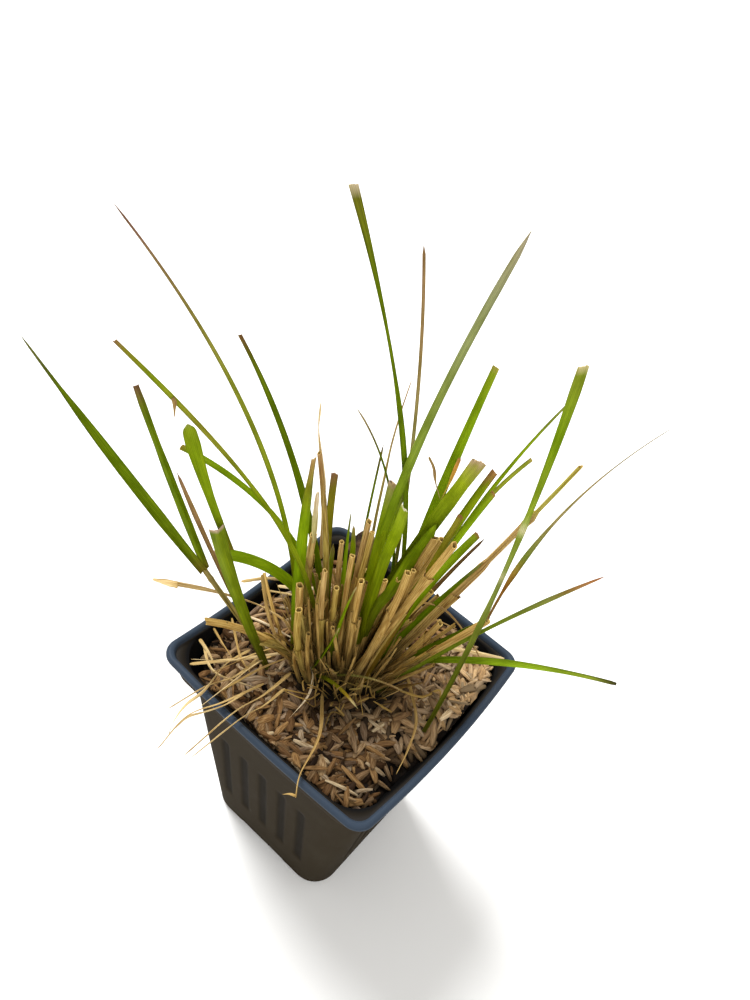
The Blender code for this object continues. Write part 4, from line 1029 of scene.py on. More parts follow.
SMALL_STRANDS: tuple[Strand, ...] = (
    Strand("straw_curved_right", ((7, 12, 130), (17.5, 22.5, 127), (29.5, 28, 115), (37.5, 30, 105)),
           0.8, 0.4, 0.5, 60, ((0.0, "#7a5a3c"), (1.0, "#6d4f38"))),
    Strand("leaf_small_back_1", ((-9, 20, 96), (-16.5, 25.3, 130), (-24.4, 36.7, 150), (-28.1, 42.5, 157),
           (-31.4, 49.1, 167), (-33.9, 55.1, 175)), 1.1, 0.5, 0.4, 60, RUSTY),
    Strand("curl_white_1", ((-11.9, -7.2, 118), (-12.6, -8.8, 112), (-11, -7.2, 107)),
           1.4, 0.4, 0.2, 200, WHITE),
    Strand("curl_white_2", ((-10.3, -11, 108), (-7.5, -12.3, 104), (-3.4, -13.7, 101), (0.1, -19.5, 99),
           (1.3, -29.7, 98)), 1.2, 0.3, 0.2, 260, WHITE),
    Strand("straw_wavy_1", ((-26.2, -20.8, 99), (-26.2, -32, 102), (-22, -45.2, 105.5), (-22, -53, 105.5),
           (-20.9, -58.7, 104), (-19.4, -62, 102)), 1.3, 0.35, 0.3, 300, PALE),
    Strand("straw_wavy_2", ((-13.7, -36, 103), (-13.7, -43.9, 105.2), (-16.7, -50.3, 104.5),
           (-19, -54.8, 104), (-19.6, -60.2, 102)), 1.0, 0.4, 0.4, 200, PALE),
    Strand("straw_left_5", ((-19.3, -15.4, 98.5), (-19.9, -24.3, 101), (-18.5, -39.4, 105),
           (-18.9, -50, 104.5)), 0.8, 0.5, 0.5, 90, PALE),
    Strand("straw_left_6", ((-23.2, -17.8, 98.5), (-26, -29, 101.5), (-34.1, -40.2, 104.5)),
           0.7, 0.5, 0.5, 90, PALE),
    Strand("straw_left_7", ((-20.5, -12.9, 99), (-22.5, -21.2, 101.5), (-25.5, -38.9, 104.8)),
           0.7, 0.5, 0.5, 90, TAN),
    Strand("straw_left_8", ((-39, -32.1, 103), (-34.3, -32.7, 101.5), (-29.3, -34, 100)),
           1.1, 0.6, 0.3, 60, PALE),
    Strand("straw_left_9", ((-39.7, -25.1, 102), (-34.1, -26.5, 101), (-27, -28, 100)),
           0.7, 0.5, 0.5, 60, TAN),
    Strand("straw_back_1", ((-46.5, -6, 105.3), (-42, 4, 103), (-33, 14, 100)), 1.3, 0.7, 0.3, 90, PALE),
    Strand("straw_back_2", ((-37.9, 4.4, 102), (-31.5, 12.4, 100), (-25.1, 20.3, 99.5)),
           1.5, 0.7, 0.3, 60, WHITE),
    Strand("straw_back_3", ((-40, -2, 103.5), (-32, 6, 101), (-22, 12, 100)), 0.8, 0.6, 0.4, 60, PALE),
    Strand("straw_lying_right", ((15, 20.3, 100), (17.2, 26.3, 101.5), (28.4, 33.8, 102),
           (40, 38.8, 104.8)), 1.8, 0.7, 0.3, 60, PALE),
    Strand("straw_tan_front", ((19, 11.9, 97.5), (31.2, 0.7, 98.5), (36.3, -10.5, 99), (39, -20, 99.5)),
           1.2, 0.8, 0.35, 90, TAN),
    Strand("straw_fork", ((22.4, -49.4, 103.6), (20.7, -50.2, 103.4), (19.2, -51.4, 102.6)),
           1.0, 0.4, 0.3, 60, TAN),
    Strand("straw_arrow_tip", ((-51, -31.5, 120.3), (-53.2, -34, 121.4), (-57, -37, 122.4)),
           3.0, 0.25, 0.2, 0, PALE),
    Strand("straw_white_tall", ((-17.5, -1.5, 140), (-20.7, -0.8, 155), (-22, -1.8, 172),
           (-23.3, -6.3, 192), (-22, -9.3, 205)), 1.5, 0.4, 0.3, 160, PALE),
    Strand("straw_papery_top", ((-15.9, -9.4, 155), (-16.6, -9.4, 160), (-18, -8.5, 166),
           (-19.7, -6.9, 172)), 2.4, 0.7, 0.3, 40, ((0.0, "#a3a06a"), (0.5, "#b9bf8e"), (0.8, "#efe9dc"),
           (1.0, "#f4efe6"))),
    Strand("straw_across_1", ((-34.7, -40.1, 101), (-25.2, -26.5, 100.5), (-16.2, -11.3, 99)),
           1.2, 0.7, 0.3, 60, PALE),
    Strand("straw_across_2", ((-38.1, -31.4, 101), (-26.9, -36.3, 101), (-12.5, -28.4, 98)),
           0.9, 0.5, 0.4, 90, PALE),
    Strand("straw_across_3", ((-20.2, -39.3, 101), (-18.0, -23.2, 99.5), (-14.4, -10.1, 98)),
           0.8, 0.6, 0.4, 60, TAN),
    Strand("straw_across_4", ((-41.9, -15.5, 101.5), (-31.1, -10.3, 100.5), (-18.3, -6.2, 99)),
           1.0, 0.6, 0.4, 60, WHITE),
    Strand("straw_across_5", ((-38.9, -17.4, 101.5), (-26.1, -25.7, 101), (-19.4, -27.4, 100)),
           0.8, 0.6, 0.4, 60, TAN),
    Strand("streak_dried", ((3.4, 30.0, 180.6), (3.7, 28.2, 174.8), (3.9, 27.1, 171.6),
           (3.7, 25.5, 165.6)), 1.2, 0.3, 0.15, 30, ((0.0, "#8a4a1e"), (0.15, "#d48a1c"), (0.6, "#cba620"),
           (1.0, "#9aa018"))),
    Strand("straw_bent_left", ((-38.1, -5.2, 116), (-27.3, -10.9, 106), (-17, -12.9, 98)),
           1.4, 0.6, 0.5, 0, TAN),
    Strand("straw_thin_right", ((0.2, 19.2, 106), (10, 33, 104), (20, 38, 103)), 0.8, 0.5, 0.5, 60, BROWN),
    Strand("straw_flake_tip", ((-41.3, -42.7, 211.0), (-40.8, -42.7, 209.6), (-40.2, -43.2, 208.4),
           (-39.2, -44.0, 206.8)), 1.3, 0.3, 0.2, 60, BROWN),
    Strand("straw_flake_right", ((-0.7, 18, 185), (1.1, 19.5, 181), (3, 19.9, 176), (3.6, 25.1, 166)),
           1.3, 0.12, 0.5, 60, BROWN),
)


def rounded_square(half: float, radius: float, bows: Sequence[float], corner_steps: int,
                   side_steps: int) -> list[tuple[float, float, float, int]]:
    """Work out a rounded square's points.

    Args:
        half: half its width.
        radius: its corner radius.
        bows: how far each side bows out.
        corner_steps: steps round each corner.
        side_steps: steps along each side.

    Returns:
        Each point's x, y, its distance from its side's middle (infinite in a corner), and the side's number.
    """
    points = []
    straight = half - radius
    for side, bow in enumerate(bows):
        turn = math.radians(90 * side)
        shares = [2 * step / side_steps - 1 for step in range(1, side_steps)]
        local = [(half + bow * (1 - share * share), straight * share, straight * share) for share in shares]
        for step in range(corner_steps + 1):
            angle = math.radians(90 * step / corner_steps)
            local.append((straight + radius * math.cos(angle), straight + radius * math.sin(angle), math.inf))
        points += [(*turned(x, y, turn), off, side) for x, y, off in local]
    return points


@dataclass(frozen=True)
class NurseryPot:
    """The square moulded pot, 9 cm across its rolled lip."""

    rim: float = 90.0
    height: float = 103.0
    wall_top: float = 90.5
    wall_top_width: float = 79.6
    base_width: float = 59.0
    wall: float = 1.2
    floor: float = 5.2
    ledge: float = 82.6
    collar: float = 86.8
    lip: float = 1.3
    edge: float = 3.0
    bows: tuple[float, ...] = (2.0, 0.6, -1.4, 1.1)
    bow_start: float = 66.0
    shelf: Pair = (90.0, 93.5)
    groove_pitch: float = 9.3
    groove_depth: float = 0.7
    groove_half: float = 1.75
    groove_span: Pair = (21.5, 66.5)
    arch: tuple[Pair, ...] = ((-17.0, -1.0), (17.0, -1.0), (11.0, 3.4), (-11.0, 3.4))
    drains: tuple[Pair, ...] = ((0, 0), (17, 0), (-17, 0), (0, 17), (0, -17))
    drain_radius: float = 4.0

    INNER_ROWS = 6
    LEVELS = (4.5, 8, 12, 16, 18, 19.2, *(19.8 + 0.6 * n for n in range(9)),
              *(26 + 3.0 * n for n in range(13)), *(63.4 + 0.6 * n for n in range(10)),
              70, 74, 78, 82, 85, 87.5, 89.4, 90.5)

    def half_at(self, height: float) -> float:
        """Return half the width of the outside wall at a height."""
        return (self.base_width + (self.wall_top_width - self.base_width) * height / self.wall_top) / 2

    def corner_at(self, height: float) -> float:
        """Return the outside wall's corner radius at a height."""
        return 10.0 + 2.5 * height / self.wall_top

    def bows_at(self, height: float) -> list[float]:
        """Return how far the sides bow out at a height."""
        share = clamp((height - self.bow_start) / (self.height - self.bow_start))
        return [bow * share**2 for bow in self.bows]

    def inner_half(self, height: float) -> float:
        """Return half the inside width at a height."""
        return min(self.half_at(min(height, self.wall_top)) - self.wall, self.ledge / 2)

    def inside_at(self, x: float, y: float, height: float) -> float:
        """Work out how far out the inside of the nearest wall is, with its collar and its bow.

        Args:
            x: the place.
            y: the place.
            height: the height.

        Returns:
            The distance from the pot's middle plane to that wall.
        """
        low, high = self.shelf
        widened = self.ledge / 2 - 0.7 - self.inner_half(low)
        half = self.inner_half(height) + clamp((height - low) / (high - low)) * widened
        side = (0 if x > 0 else 2) if abs(x) >= abs(y) else (1 if y > 0 else 3)
        share = min(1.0, min(abs(x), abs(y)) / 30)
        return half + self.bows_at(height)[side] * (1 - share * share)

    def groove_at(self, off: float, height: float) -> float:
        """Work out how deep the pressed grooves are at a place on a side.

        Args:
            off: the distance from the side's middle, infinite in a corner.
            height: the height.

        Returns:
            The depth.
        """
        low, high = self.groove_span
        if not (math.isfinite(off) and low - 2 < height < high + 2):
            return 0.0
        nearest = round(off / self.groove_pitch)
        if abs(nearest) > 2:
            return 0.0
        edge = 1 / (1 + math.exp((abs(off - nearest * self.groove_pitch) - self.groove_half) * 4.0))
        ends = 1 / (1 + math.exp((low - height) * 1.6)) / (1 + math.exp((height - high) * 1.6))
        return self.groove_depth * edge * ends

    def profile(self) -> list[tuple[float, float, float, bool]]:
        """Return the section from the base's edge up, over the lip and down inside.

        Returns:
            Each level's height, half width, corner radius, and whether it is the outer wall.
        """
        top, wall_top, wall_half = self.height, self.wall_top, self.wall_top_width / 2
        collar, ledge, inner = self.collar / 2, self.ledge / 2, self.rim / 2 - 2 * self.lip
        rows: list[tuple[float, float, float, bool]] = []
        for angle in (math.radians(90 * step / 5) for step in range(6)):
            rise, draw = self.edge * (1 - math.cos(angle)), self.edge * (1 - math.sin(angle))
            rows.append((rise, self.base_width / 2 - draw + 0.114 * rise, 8.0 + 2.0 * math.sin(angle), False))
        rows += [(level, self.half_at(level), self.corner_at(level), True) for level in self.LEVELS]
        for share in (step / 6 for step in range(1, 7)):
            half = wall_half + (collar - 0.5 - wall_half) * share * share * (3 - 2 * share)
            rows.append((wall_top + 3.6 * share, half, 12.5 - 3.0 * share, False))
        rows += [(97.0, collar - 0.2, 9.2, False), (top - 2.9, collar, 9.0, False)]
        for share in (step / 10 for step in range(11)):
            angle = math.radians(-70 + 220 * share)
            half = self.rim / 2 - self.lip + self.lip * math.cos(angle)
            rows.append((top - 1.45 + 1.45 * math.sin(angle), half, 7.1 - 2.1 * share, False))
        rows += [(top - 1.6, inner, 4.9, False), (top - 2.0, inner - 0.15, 5.2, False),
                 (top - 2.3, ledge + 0.2, 11.0, False), (top - 2.6, ledge, 12.0, False),
                 (self.shelf[1], ledge - 0.7, 12.0, False),
                 (self.shelf[0], self.inner_half(self.shelf[0]), 11.3, False)]
        rows += [(level, self.inner_half(level), self.corner_at(level) - self.wall, False)
                 for level in (self.bow_start, self.floor)]
        return rows

    def build(self, finish: bpy.types.Material) -> bpy.types.Object:
        """Make the pot with its grooves, arches and drain holes.

        Args:
            finish: its material.

        Returns:
            The pot.
        """
        builder = MeshBuilder()
        rows = self.profile()
        for number, (height, half, radius, outer) in enumerate(rows):
            ring, tint, flat = [], [], []
            inside = number >= len(rows) - self.INNER_ROWS
            for x, y, off, side in rounded_square(half, radius, self.bows_at(height), 10, 84):
                depth = self.groove_at(off, height) if outer else 0.0
                sunk = depth + 0.10 * noise.noise(Vector((x * 0.03, y * 0.03, height * 0.03)))
                turn = math.radians(90 * side)
                x, y = x - sunk * math.cos(turn), y - sunk * math.sin(turn)
                ring.append((x, y, height))
                # tint holds the painted shade: full on the inside rows, up to 0.6 at the bottom of a groove
                tint.append([1.0 if inside else 0.6 * depth / self.groove_depth] * 3)
                flat.append((x + y, height))
            builder.add_ring(ring, tint, flat)
        builder.skin(len(ring))
        pot = builder.build("pot_moulded", finish, 40.0)
        cutters = (("arch_x", self.arch_cutter(False)), ("arch_y", self.arch_cutter(True)),
                   ("drains", self.peg_cutter()))
        for name, shape in cutters:
            cut = pot.modifiers.new(name, "BOOLEAN")
            cut.object, cut.operation, cut.solver = shape.build(name, finish), "DIFFERENCE", "EXACT"
        return baked(pot, "pot_moulded", [modifier.object for modifier in pot.modifiers])

    def arch_cutter(self, crosswise: bool) -> MeshBuilder:
        """Make the prism that lifts the middle of two opposite sides.

        Args:
            crosswise: whether it runs along Y, not X.

        Returns:
            The prism.
        """
        shape = MeshBuilder()
        for along in (45.0, -45.0) if crosswise else (-45.0, 45.0):
            shape.add_ring([(a, along, z) if crosswise else (along, a, z) for a, z in self.arch])
        shape.skin(len(self.arch))
        return shape

    def peg_cutter(self) -> MeshBuilder:
        """Return the pegs that cut the drain holes."""
        shape, steps = MeshBuilder(), 32
        circle = [turned(self.drain_radius, 0.0, math.tau * step / steps) for step in range(steps)]
        for x, y in self.drains:
            for z in (-2.0, self.floor + 2.0):
                shape.add_ring([(x + across, y + along, z) for across, along in circle])
            shape.skin(steps)
        return shape


def baked(piece: bpy.types.Object, name: str, helpers: Sequence[bpy.types.Object] = ()) -> bpy.types.Object:
    """Turn a piece and its modifiers into a plain mesh object, and remove what it was made with.

    Args:
        piece: the object with modifiers.
        name: the plain object's name.
        helpers: objects that only its modifiers used.

    Returns:
        The plain object.
    """
    bpy.context.view_layer.update()
    graph = bpy.context.evaluated_depsgraph_get()
    final = piece.evaluated_get(graph)
    mesh = bpy.data.meshes.new_from_object(final, preserve_all_data_layers=True, depsgraph=graph)
    for old in (piece, *helpers):
        bpy.data.objects.remove(old)
    return add_object(name, mesh)


@dataclass(frozen=True)
class Dip:
    """A sunk place in the mulch: where, how deep, how wide, and how much thinner the hulls lie there."""

    middle: Pair
    depth: float
    spread: Pair
    thinner: float

    def at(self, x: float, y: float) -> float:
        """Return how much of the dip is felt at a place, from 0 to 1."""
        reaches = [math.sqrt(2) * spread for spread in self.spread]
        return bell(x - self.middle[0], reaches[0]) * bell(y - self.middle[1], reaches[1])


DIPS = (Dip((38.0, -18.0), 7.0, (4.5, 9.5), 0.97), Dip((35.5, -4.5), 2.0, (5.0, 4.0), 0.2),
        Dip((-36.0, -34.0), 5.5, (6.0, 6.0), 0.95), Dip((-36.0, 15.0), 5.0, (6.0, 8.0), 0.75),
        Dip((-27.0, 36.0), 2.6, (8.0, 8.0), 0.3))


def mulch_height(x: float, y: float) -> float:
    """Work out the mulch's top: level round the crown, heaped by the walls and sunk in its dips.

    Args:
        x: the place.
        y: the place.

    Returns:
        The height there.
    """
    out = clamp((max(abs(x), abs(y)) - 24.0) / 15.0)
    heap = 4.1 + 4.2 * clamp((x - 22) / 14) * clamp((y + 2) / 9)
    broad = noise.noise(Vector((x * 0.11, y * 0.11, 4.7)))
    fine = noise.noise(Vector((x * 0.27, y * 0.27, 1.3)))
    level = MULCH_LEVEL + heap * out * out * (3 - 2 * out) - sum(dip.depth * dip.at(x, y) for dip in DIPS)
    return max(89.8, level + 0.9 * (broad + 0.5 * fine))


def grid_rim(rows: int, columns: int) -> list[int]:
    """Return the numbers of a grid's outer points, anticlockwise from the first."""
    across = columns + 1
    return [*range(across), *(row * across + columns for row in range(1, rows + 1)),
            *(rows * across + column for column in range(columns - 1, -1, -1)),
            *(row * across for row in range(rows - 1, 0, -1))]


@dataclass(frozen=True)
class Grain:
    """One shape that is strewn: a boat-shaped shell, its sizes, and how far its long edges turn down."""

    name: str
    length: float
    width: float
    thick: float
    curl: float

    LONG = 5.0

    def build(self) -> bpy.types.Object:
        """Make the grain, outside the scene.

        Returns:
            The grain, with fewer faces where it is short.
        """
        columns, rows = (3, 5) if self.length > self.LONG else (2, 3)
        points, faces, flats = [], [], []
        for layer in (1, -1):
            for row in range(rows + 1):
                share = row / rows
                half = self.width / 2 * math.sin(math.pi * (0.06 + 0.87 * share)) ** 0.55
                for side in (2 * column / columns - 1 for column in range(columns + 1)):
                    x, y = self.length * (share - 0.5), half * side
                    z = self.curl * half * (0.4 - side * side * 0.6) - 0.5 * (2 * share - 1) ** 2
                    z += layer * self.thick / 2 * (1 - side * side * 0.7)
                    points.append((x * MM, y * MM, z * MM))
                    flats.append((y, x))
        stride, across = len(points) // 2, columns + 1
        for low in (row * across + column for row in range(rows) for column in range(columns)):
            faces.append((low + 1, low + across + 1, low + across, low))
            faces.append(tuple(stride + corner for corner in (low + across, low + across + 1, low + 1, low)))
        rim = grid_rim(rows, columns)
        faces += [(here, stride + here, stride + after, after) for here, after in zip(rim, rim[1:] + rim[:1])]
        mesh = bpy.data.meshes.new(self.name)
        mesh.from_pydata(points, [], faces)
        layer = mesh.uv_layers.new(name="UVMap")
        for loop in mesh.loops:
            layer.data[loop.index].uv = flats[loop.vertex_index]
        mesh.shade_smooth()
        return bpy.data.objects.new(self.name, mesh)


@dataclass(frozen=True)
class Scatter:
    """One pass of strewing: which grains, how many a square millimetre, and how they lie."""

    name: str
    grains: tuple[Grain, ...]
    density: float
    seed: int
    tilt: float
    lift: float
    sizes: Pair
    margin: float = 1.8


@dataclass(frozen=True)
class Mulch:
    """The loose layer: a dark bed, and thousands of hulls and shreds strewn over it."""

    cells: int = 84
    gap: float = 0.6
    bottom: float = 84.3
    straight: float = 28.0
    passes: tuple[Scatter, ...] = (
        Scatter("mulch_hulls", (Grain("husk", 10.0, 2.3, 0.55, 0.9), Grain("half_husk", 9.0, 1.9, 0.45, 1.2),
                                Grain("grain", 8.6, 2.4, 1.2, 0.2)), 0.19, 7, 0.50, 2.0, (0.7, 1.15)),
        Scatter("mulch_shreds", (Grain("broad_husk", 10.6, 2.7, 0.6, 0.8),
                                 Grain("shred", 11.5, 1.6, 0.6, 0.4),
                                 Grain("flake", 9.0, 2.7, 0.45, 0.6)), 0.10, 19, 0.42, 3.2, (0.7, 1.15)),
        Scatter("mulch_crumbs", (Grain("crumb", 3.6, 1.6, 0.9, 0.3), Grain("splinter", 4.8, 0.9, 0.4, 0.2),
                                 Grain("chaff", 4.8, 1.9, 0.35, 0.9)), 0.12, 31, 0.7, 1.2, (0.6, 1.2), 1.0),
    )

    INPUTS = {"Geometry": "Geometry", "Shapes": "Collection", "Density": "Float", "Seed": "Int",
              "Cover": "String", "Tilt": "Float", "Smallest": "Float", "Largest": "Float",
              "Lift": "Float", "Finish": "Material"}

    def bed(self, finish: bpy.types.Material, pot: NurseryPot) -> bpy.types.Object:
        """Make the crumbly bed that shows between the hulls.

        Args:
            finish: its material.
            pot: the pot that holds it.

        Returns:
            The bed, with an attribute for each pass that says how many hulls lie where.
        """
        count = self.cells
        inner = pot.inner_half(91.0) - self.gap
        points, faces, covers = [], [], {layer.name: [] for layer in self.passes}
        shares = [2 * step / count - 1 for step in range(count + 1)]
        for u, v in ((u, v) for v in shares for u in shares):
            drawn = inner * (1 - 0.13 * min(abs(u), abs(v)) ** 6)
            height = mulch_height(u * drawn, v * drawn)
            wall = pot.inside_at(u * drawn, v * drawn, height)
            reach = 1 + (wall - self.gap - inner) / inner * max(abs(u), abs(v)) ** 5
            x, y = u * drawn * reach, v * drawn * reach
            crumbs = 0.5 * noise.noise(Vector((x * 0.8, y * 0.8, 0.0)))
            crumbs += 0.3 * noise.noise(Vector((x * 2.1, y * 2.1, 3.0)))
            points.append((x * MM, y * MM, (height - 1.2 + crumbs) * MM))
            for layer in self.passes:
                covers[layer.name].append(self.cover_at(x, y, pot.inside_at(x, y, height) - layer.margin))
        for low in (row * (count + 1) + n for row in range(count) for n in range(count)):
            faces.append((low, low + 1, low + count + 2, low + count + 1))
        edge, start = grid_rim(count, count), len(points)
        points += [(points[index][0] * 0.93, points[index][1] * 0.93, self.bottom * MM) for index in edge]
        for step, here in enumerate(edge):
            after = (step + 1) % len(edge)
            faces.append((here, start + step, start + after, edge[after]))
        faces.append(tuple(range(len(points) - 1, start - 1, -1)))
        mesh = bpy.data.meshes.new("mulch_bed")
        mesh.from_pydata(points, [], faces)
        for name, cover in covers.items():
            values = cover + [0.0] * len(edge)
            mesh.attributes.new("cover_" + name, "FLOAT", "POINT").data.foreach_set("value", values)
        mesh.shade_smooth()
        mesh.materials.append(finish)
        return add_object("mulch_bed", mesh)

    def cover_at(self, x: float, y: float, limit: float) -> float:
        """Work out how thickly the grains lie: few inside the crown and in the dips, none in the wall.

        Args:
            x: the place.
            y: the place.
            limit: how far out they may lie.

        Returns:
            The share of the pass's density.
        """
        corner = math.hypot(max(0.0, abs(x) - self.straight), max(0.0, abs(y) - self.straight))
        if corner >= limit - self.straight:
            return 0.0
        a, b = turned(x - CROWN_CENTRE[0], y - CROWN_CENTRE[1], -CROWN_HEADING)
        cover = clamp((math.hypot(a / CROWN_HALF[0], b / CROWN_HALF[1]) - 0.78) * 4)
        return cover * math.prod(1 - dip.thinner * dip.at(x, y) for dip in DIPS)

    def scatter_tree(self) -> bpy.types.NodeTree:
        """Build the node tree that strews grains over the bed and presses them inside the pot's wall.

        Returns:
            The tree, with named inputs for everything that is set.
        """
        tree = bpy.data.node_groups.new("strew_hulls", "GeometryNodeTree")
        tree.interface.new_socket("Geometry", in_out="OUTPUT", socket_type="NodeSocketGeometry")
        for name, kind in self.INPUTS.items():
            tree.interface.new_socket(name, in_out="INPUT", socket_type="NodeSocket" + kind)
        nodes = Nodes(tree)
        given = nodes("NodeGroupInput").node.outputs
        cover = nodes("GeometryNodeInputNamedAttribute", **{"Name": given["Cover"]}, data_type="FLOAT")
        spread = {"Mesh": given["Geometry"], "Density": nodes("maths", "MULTIPLY", cover, given["Density"]),
                  "Seed": given["Seed"]}
        spots = nodes("GeometryNodeDistributePointsOnFaces", **spread, distribute_method="RANDOM")
        lift = nodes("chance", 11)
        noted = self.note(nodes, spots, "lift", lift, "POINT")
        rise = nodes("combine", Z=nodes("maths", "MULTIPLY", lift, given["Lift"]))
        lifted = nodes("GeometryNodeSetPosition", **{"Geometry": noted, "Offset": rise})
        back = nodes("maths", "MULTIPLY", given["Tilt"], -1.0)
        turn = nodes("chance_vector", 23, nodes("combine", X=back, Y=back, Z=0.0),
                                   nodes("combine", X=given["Tilt"], Y=given["Tilt"], Z=math.tau))
        size = nodes("chance", 31, given["Smallest"], given["Largest"])
        build = nodes("chance_vector", 37, (0.70, 0.70, 0.80), (1.20, 1.30, 1.20))
        shelf = {"Collection": given["Shapes"], "Separate Children": True, "Reset Children": True}
        shapes = nodes("GeometryNodeCollectionInfo", **shelf)
        strewn = nodes("GeometryNodeInstanceOnPoints", **{
            "Points": lifted, "Instance": shapes, "Pick Instance": True,
            "Rotation": nodes("FunctionNodeEulerToRotation", **{"Euler": turn}),
            "Scale": nodes("scaled", build, size)})
        shaded = self.note(nodes, strewn, "shade", nodes("chance", 43), "INSTANCE")
        real = nodes("GeometryNodeRealizeInstances", **{"Geometry": shaded})
        pressed = nodes("GeometryNodeSetPosition", **{"Geometry": real, "Position": self.inside(nodes)})
        done = nodes("GeometryNodeSetMaterial", **{"Geometry": pressed, "Material": given["Finish"]})
        nodes("NodeGroupOutput", Geometry=done)
        return tree

    @staticmethod
    def note(nodes: Nodes, geometry: Any, name: str, value: Any, domain: str) -> Any:
        """Store a value on the geometry under a name, for the material to read."""
        inputs = {"Geometry": geometry, "Name": name, "Value": value}
        return nodes("GeometryNodeStoreNamedAttribute", **inputs, data_type="FLOAT", domain=domain)

    def inside(self, nodes: Nodes) -> Any:
        """Add the nodes that draw a position inside the pot's rounded square wall.

        Args:
            nodes: the tree to write into.

        Returns:
            The drawn-in position's socket.
        """
        where = nodes("GeometryNodeInputPosition")
        x, y, z = nodes("split", where)
        level = nodes("combine", X=x, Y=y)
        off = nodes("vector", "ABSOLUTE", level)
        past = nodes("vector", "SUBTRACT", off, (self.straight * MM, self.straight * MM, 0.0))
        past = nodes("vector", "MAXIMUM", past)
        core = nodes("vector", "SUBTRACT", off, past)
        room = nodes("maths", "ADD", nodes("maths", "MULTIPLY", x, 0.034), 0.0121)
        room = nodes("maths", "SUBTRACT", room, nodes("ramp", z, 0.0895, 0.0935, 0.0026, 0.0))
        room = nodes("maths", "SUBTRACT", room, nodes("ramp", z, 0.083, 0.087, 0.002, 0.0))
        far = nodes("maths", "MAXIMUM", nodes("length", past), 0.0001)
        share = nodes("maths", "MINIMUM", nodes("maths", "DIVIDE", room, far), 1.0)
        held = nodes("vector", "ADD", core, nodes("scaled", past, share))
        held = nodes("vector", "MULTIPLY", nodes("vector", "SIGN", level), held)
        return nodes("vector", "ADD", held, nodes("combine", Z=z))

    @staticmethod
    def strew(layer: Scatter, tree: bpy.types.NodeTree, bed: bpy.types.Object,
              finish: bpy.types.Material) -> bpy.types.Object:
        """Strew one pass of grains over the bed.

        Args:
            layer: the pass.
            tree: the node tree that strews.
            bed: the bed, with its cover attributes.
            finish: the grains' material.

        Returns:
            All the grains of this pass as one piece.
        """
        shelf = bpy.data.collections.new(layer.name + "_shapes")
        for grain in layer.grains:
            shelf.objects.link(grain.build())
        ground = add_object(layer.name, bed.data.copy())
        modifier = ground.modifiers.new("strew", "NODES")
        modifier.node_group = tree
        smallest, largest = layer.sizes
        values = {"Shapes": shelf, "Density": layer.density / MM**2, "Seed": layer.seed,
                  "Cover": "cover_" + layer.name, "Tilt": layer.tilt, "Smallest": smallest,
                  "Largest": largest, "Lift": layer.lift * MM, "Finish": finish}
        for item in tree.interface.items_tree:
            if item.in_out == "INPUT" and item.name in values:
                modifier[item.identifier] = values[item.name]
        return baked(ground, layer.name)


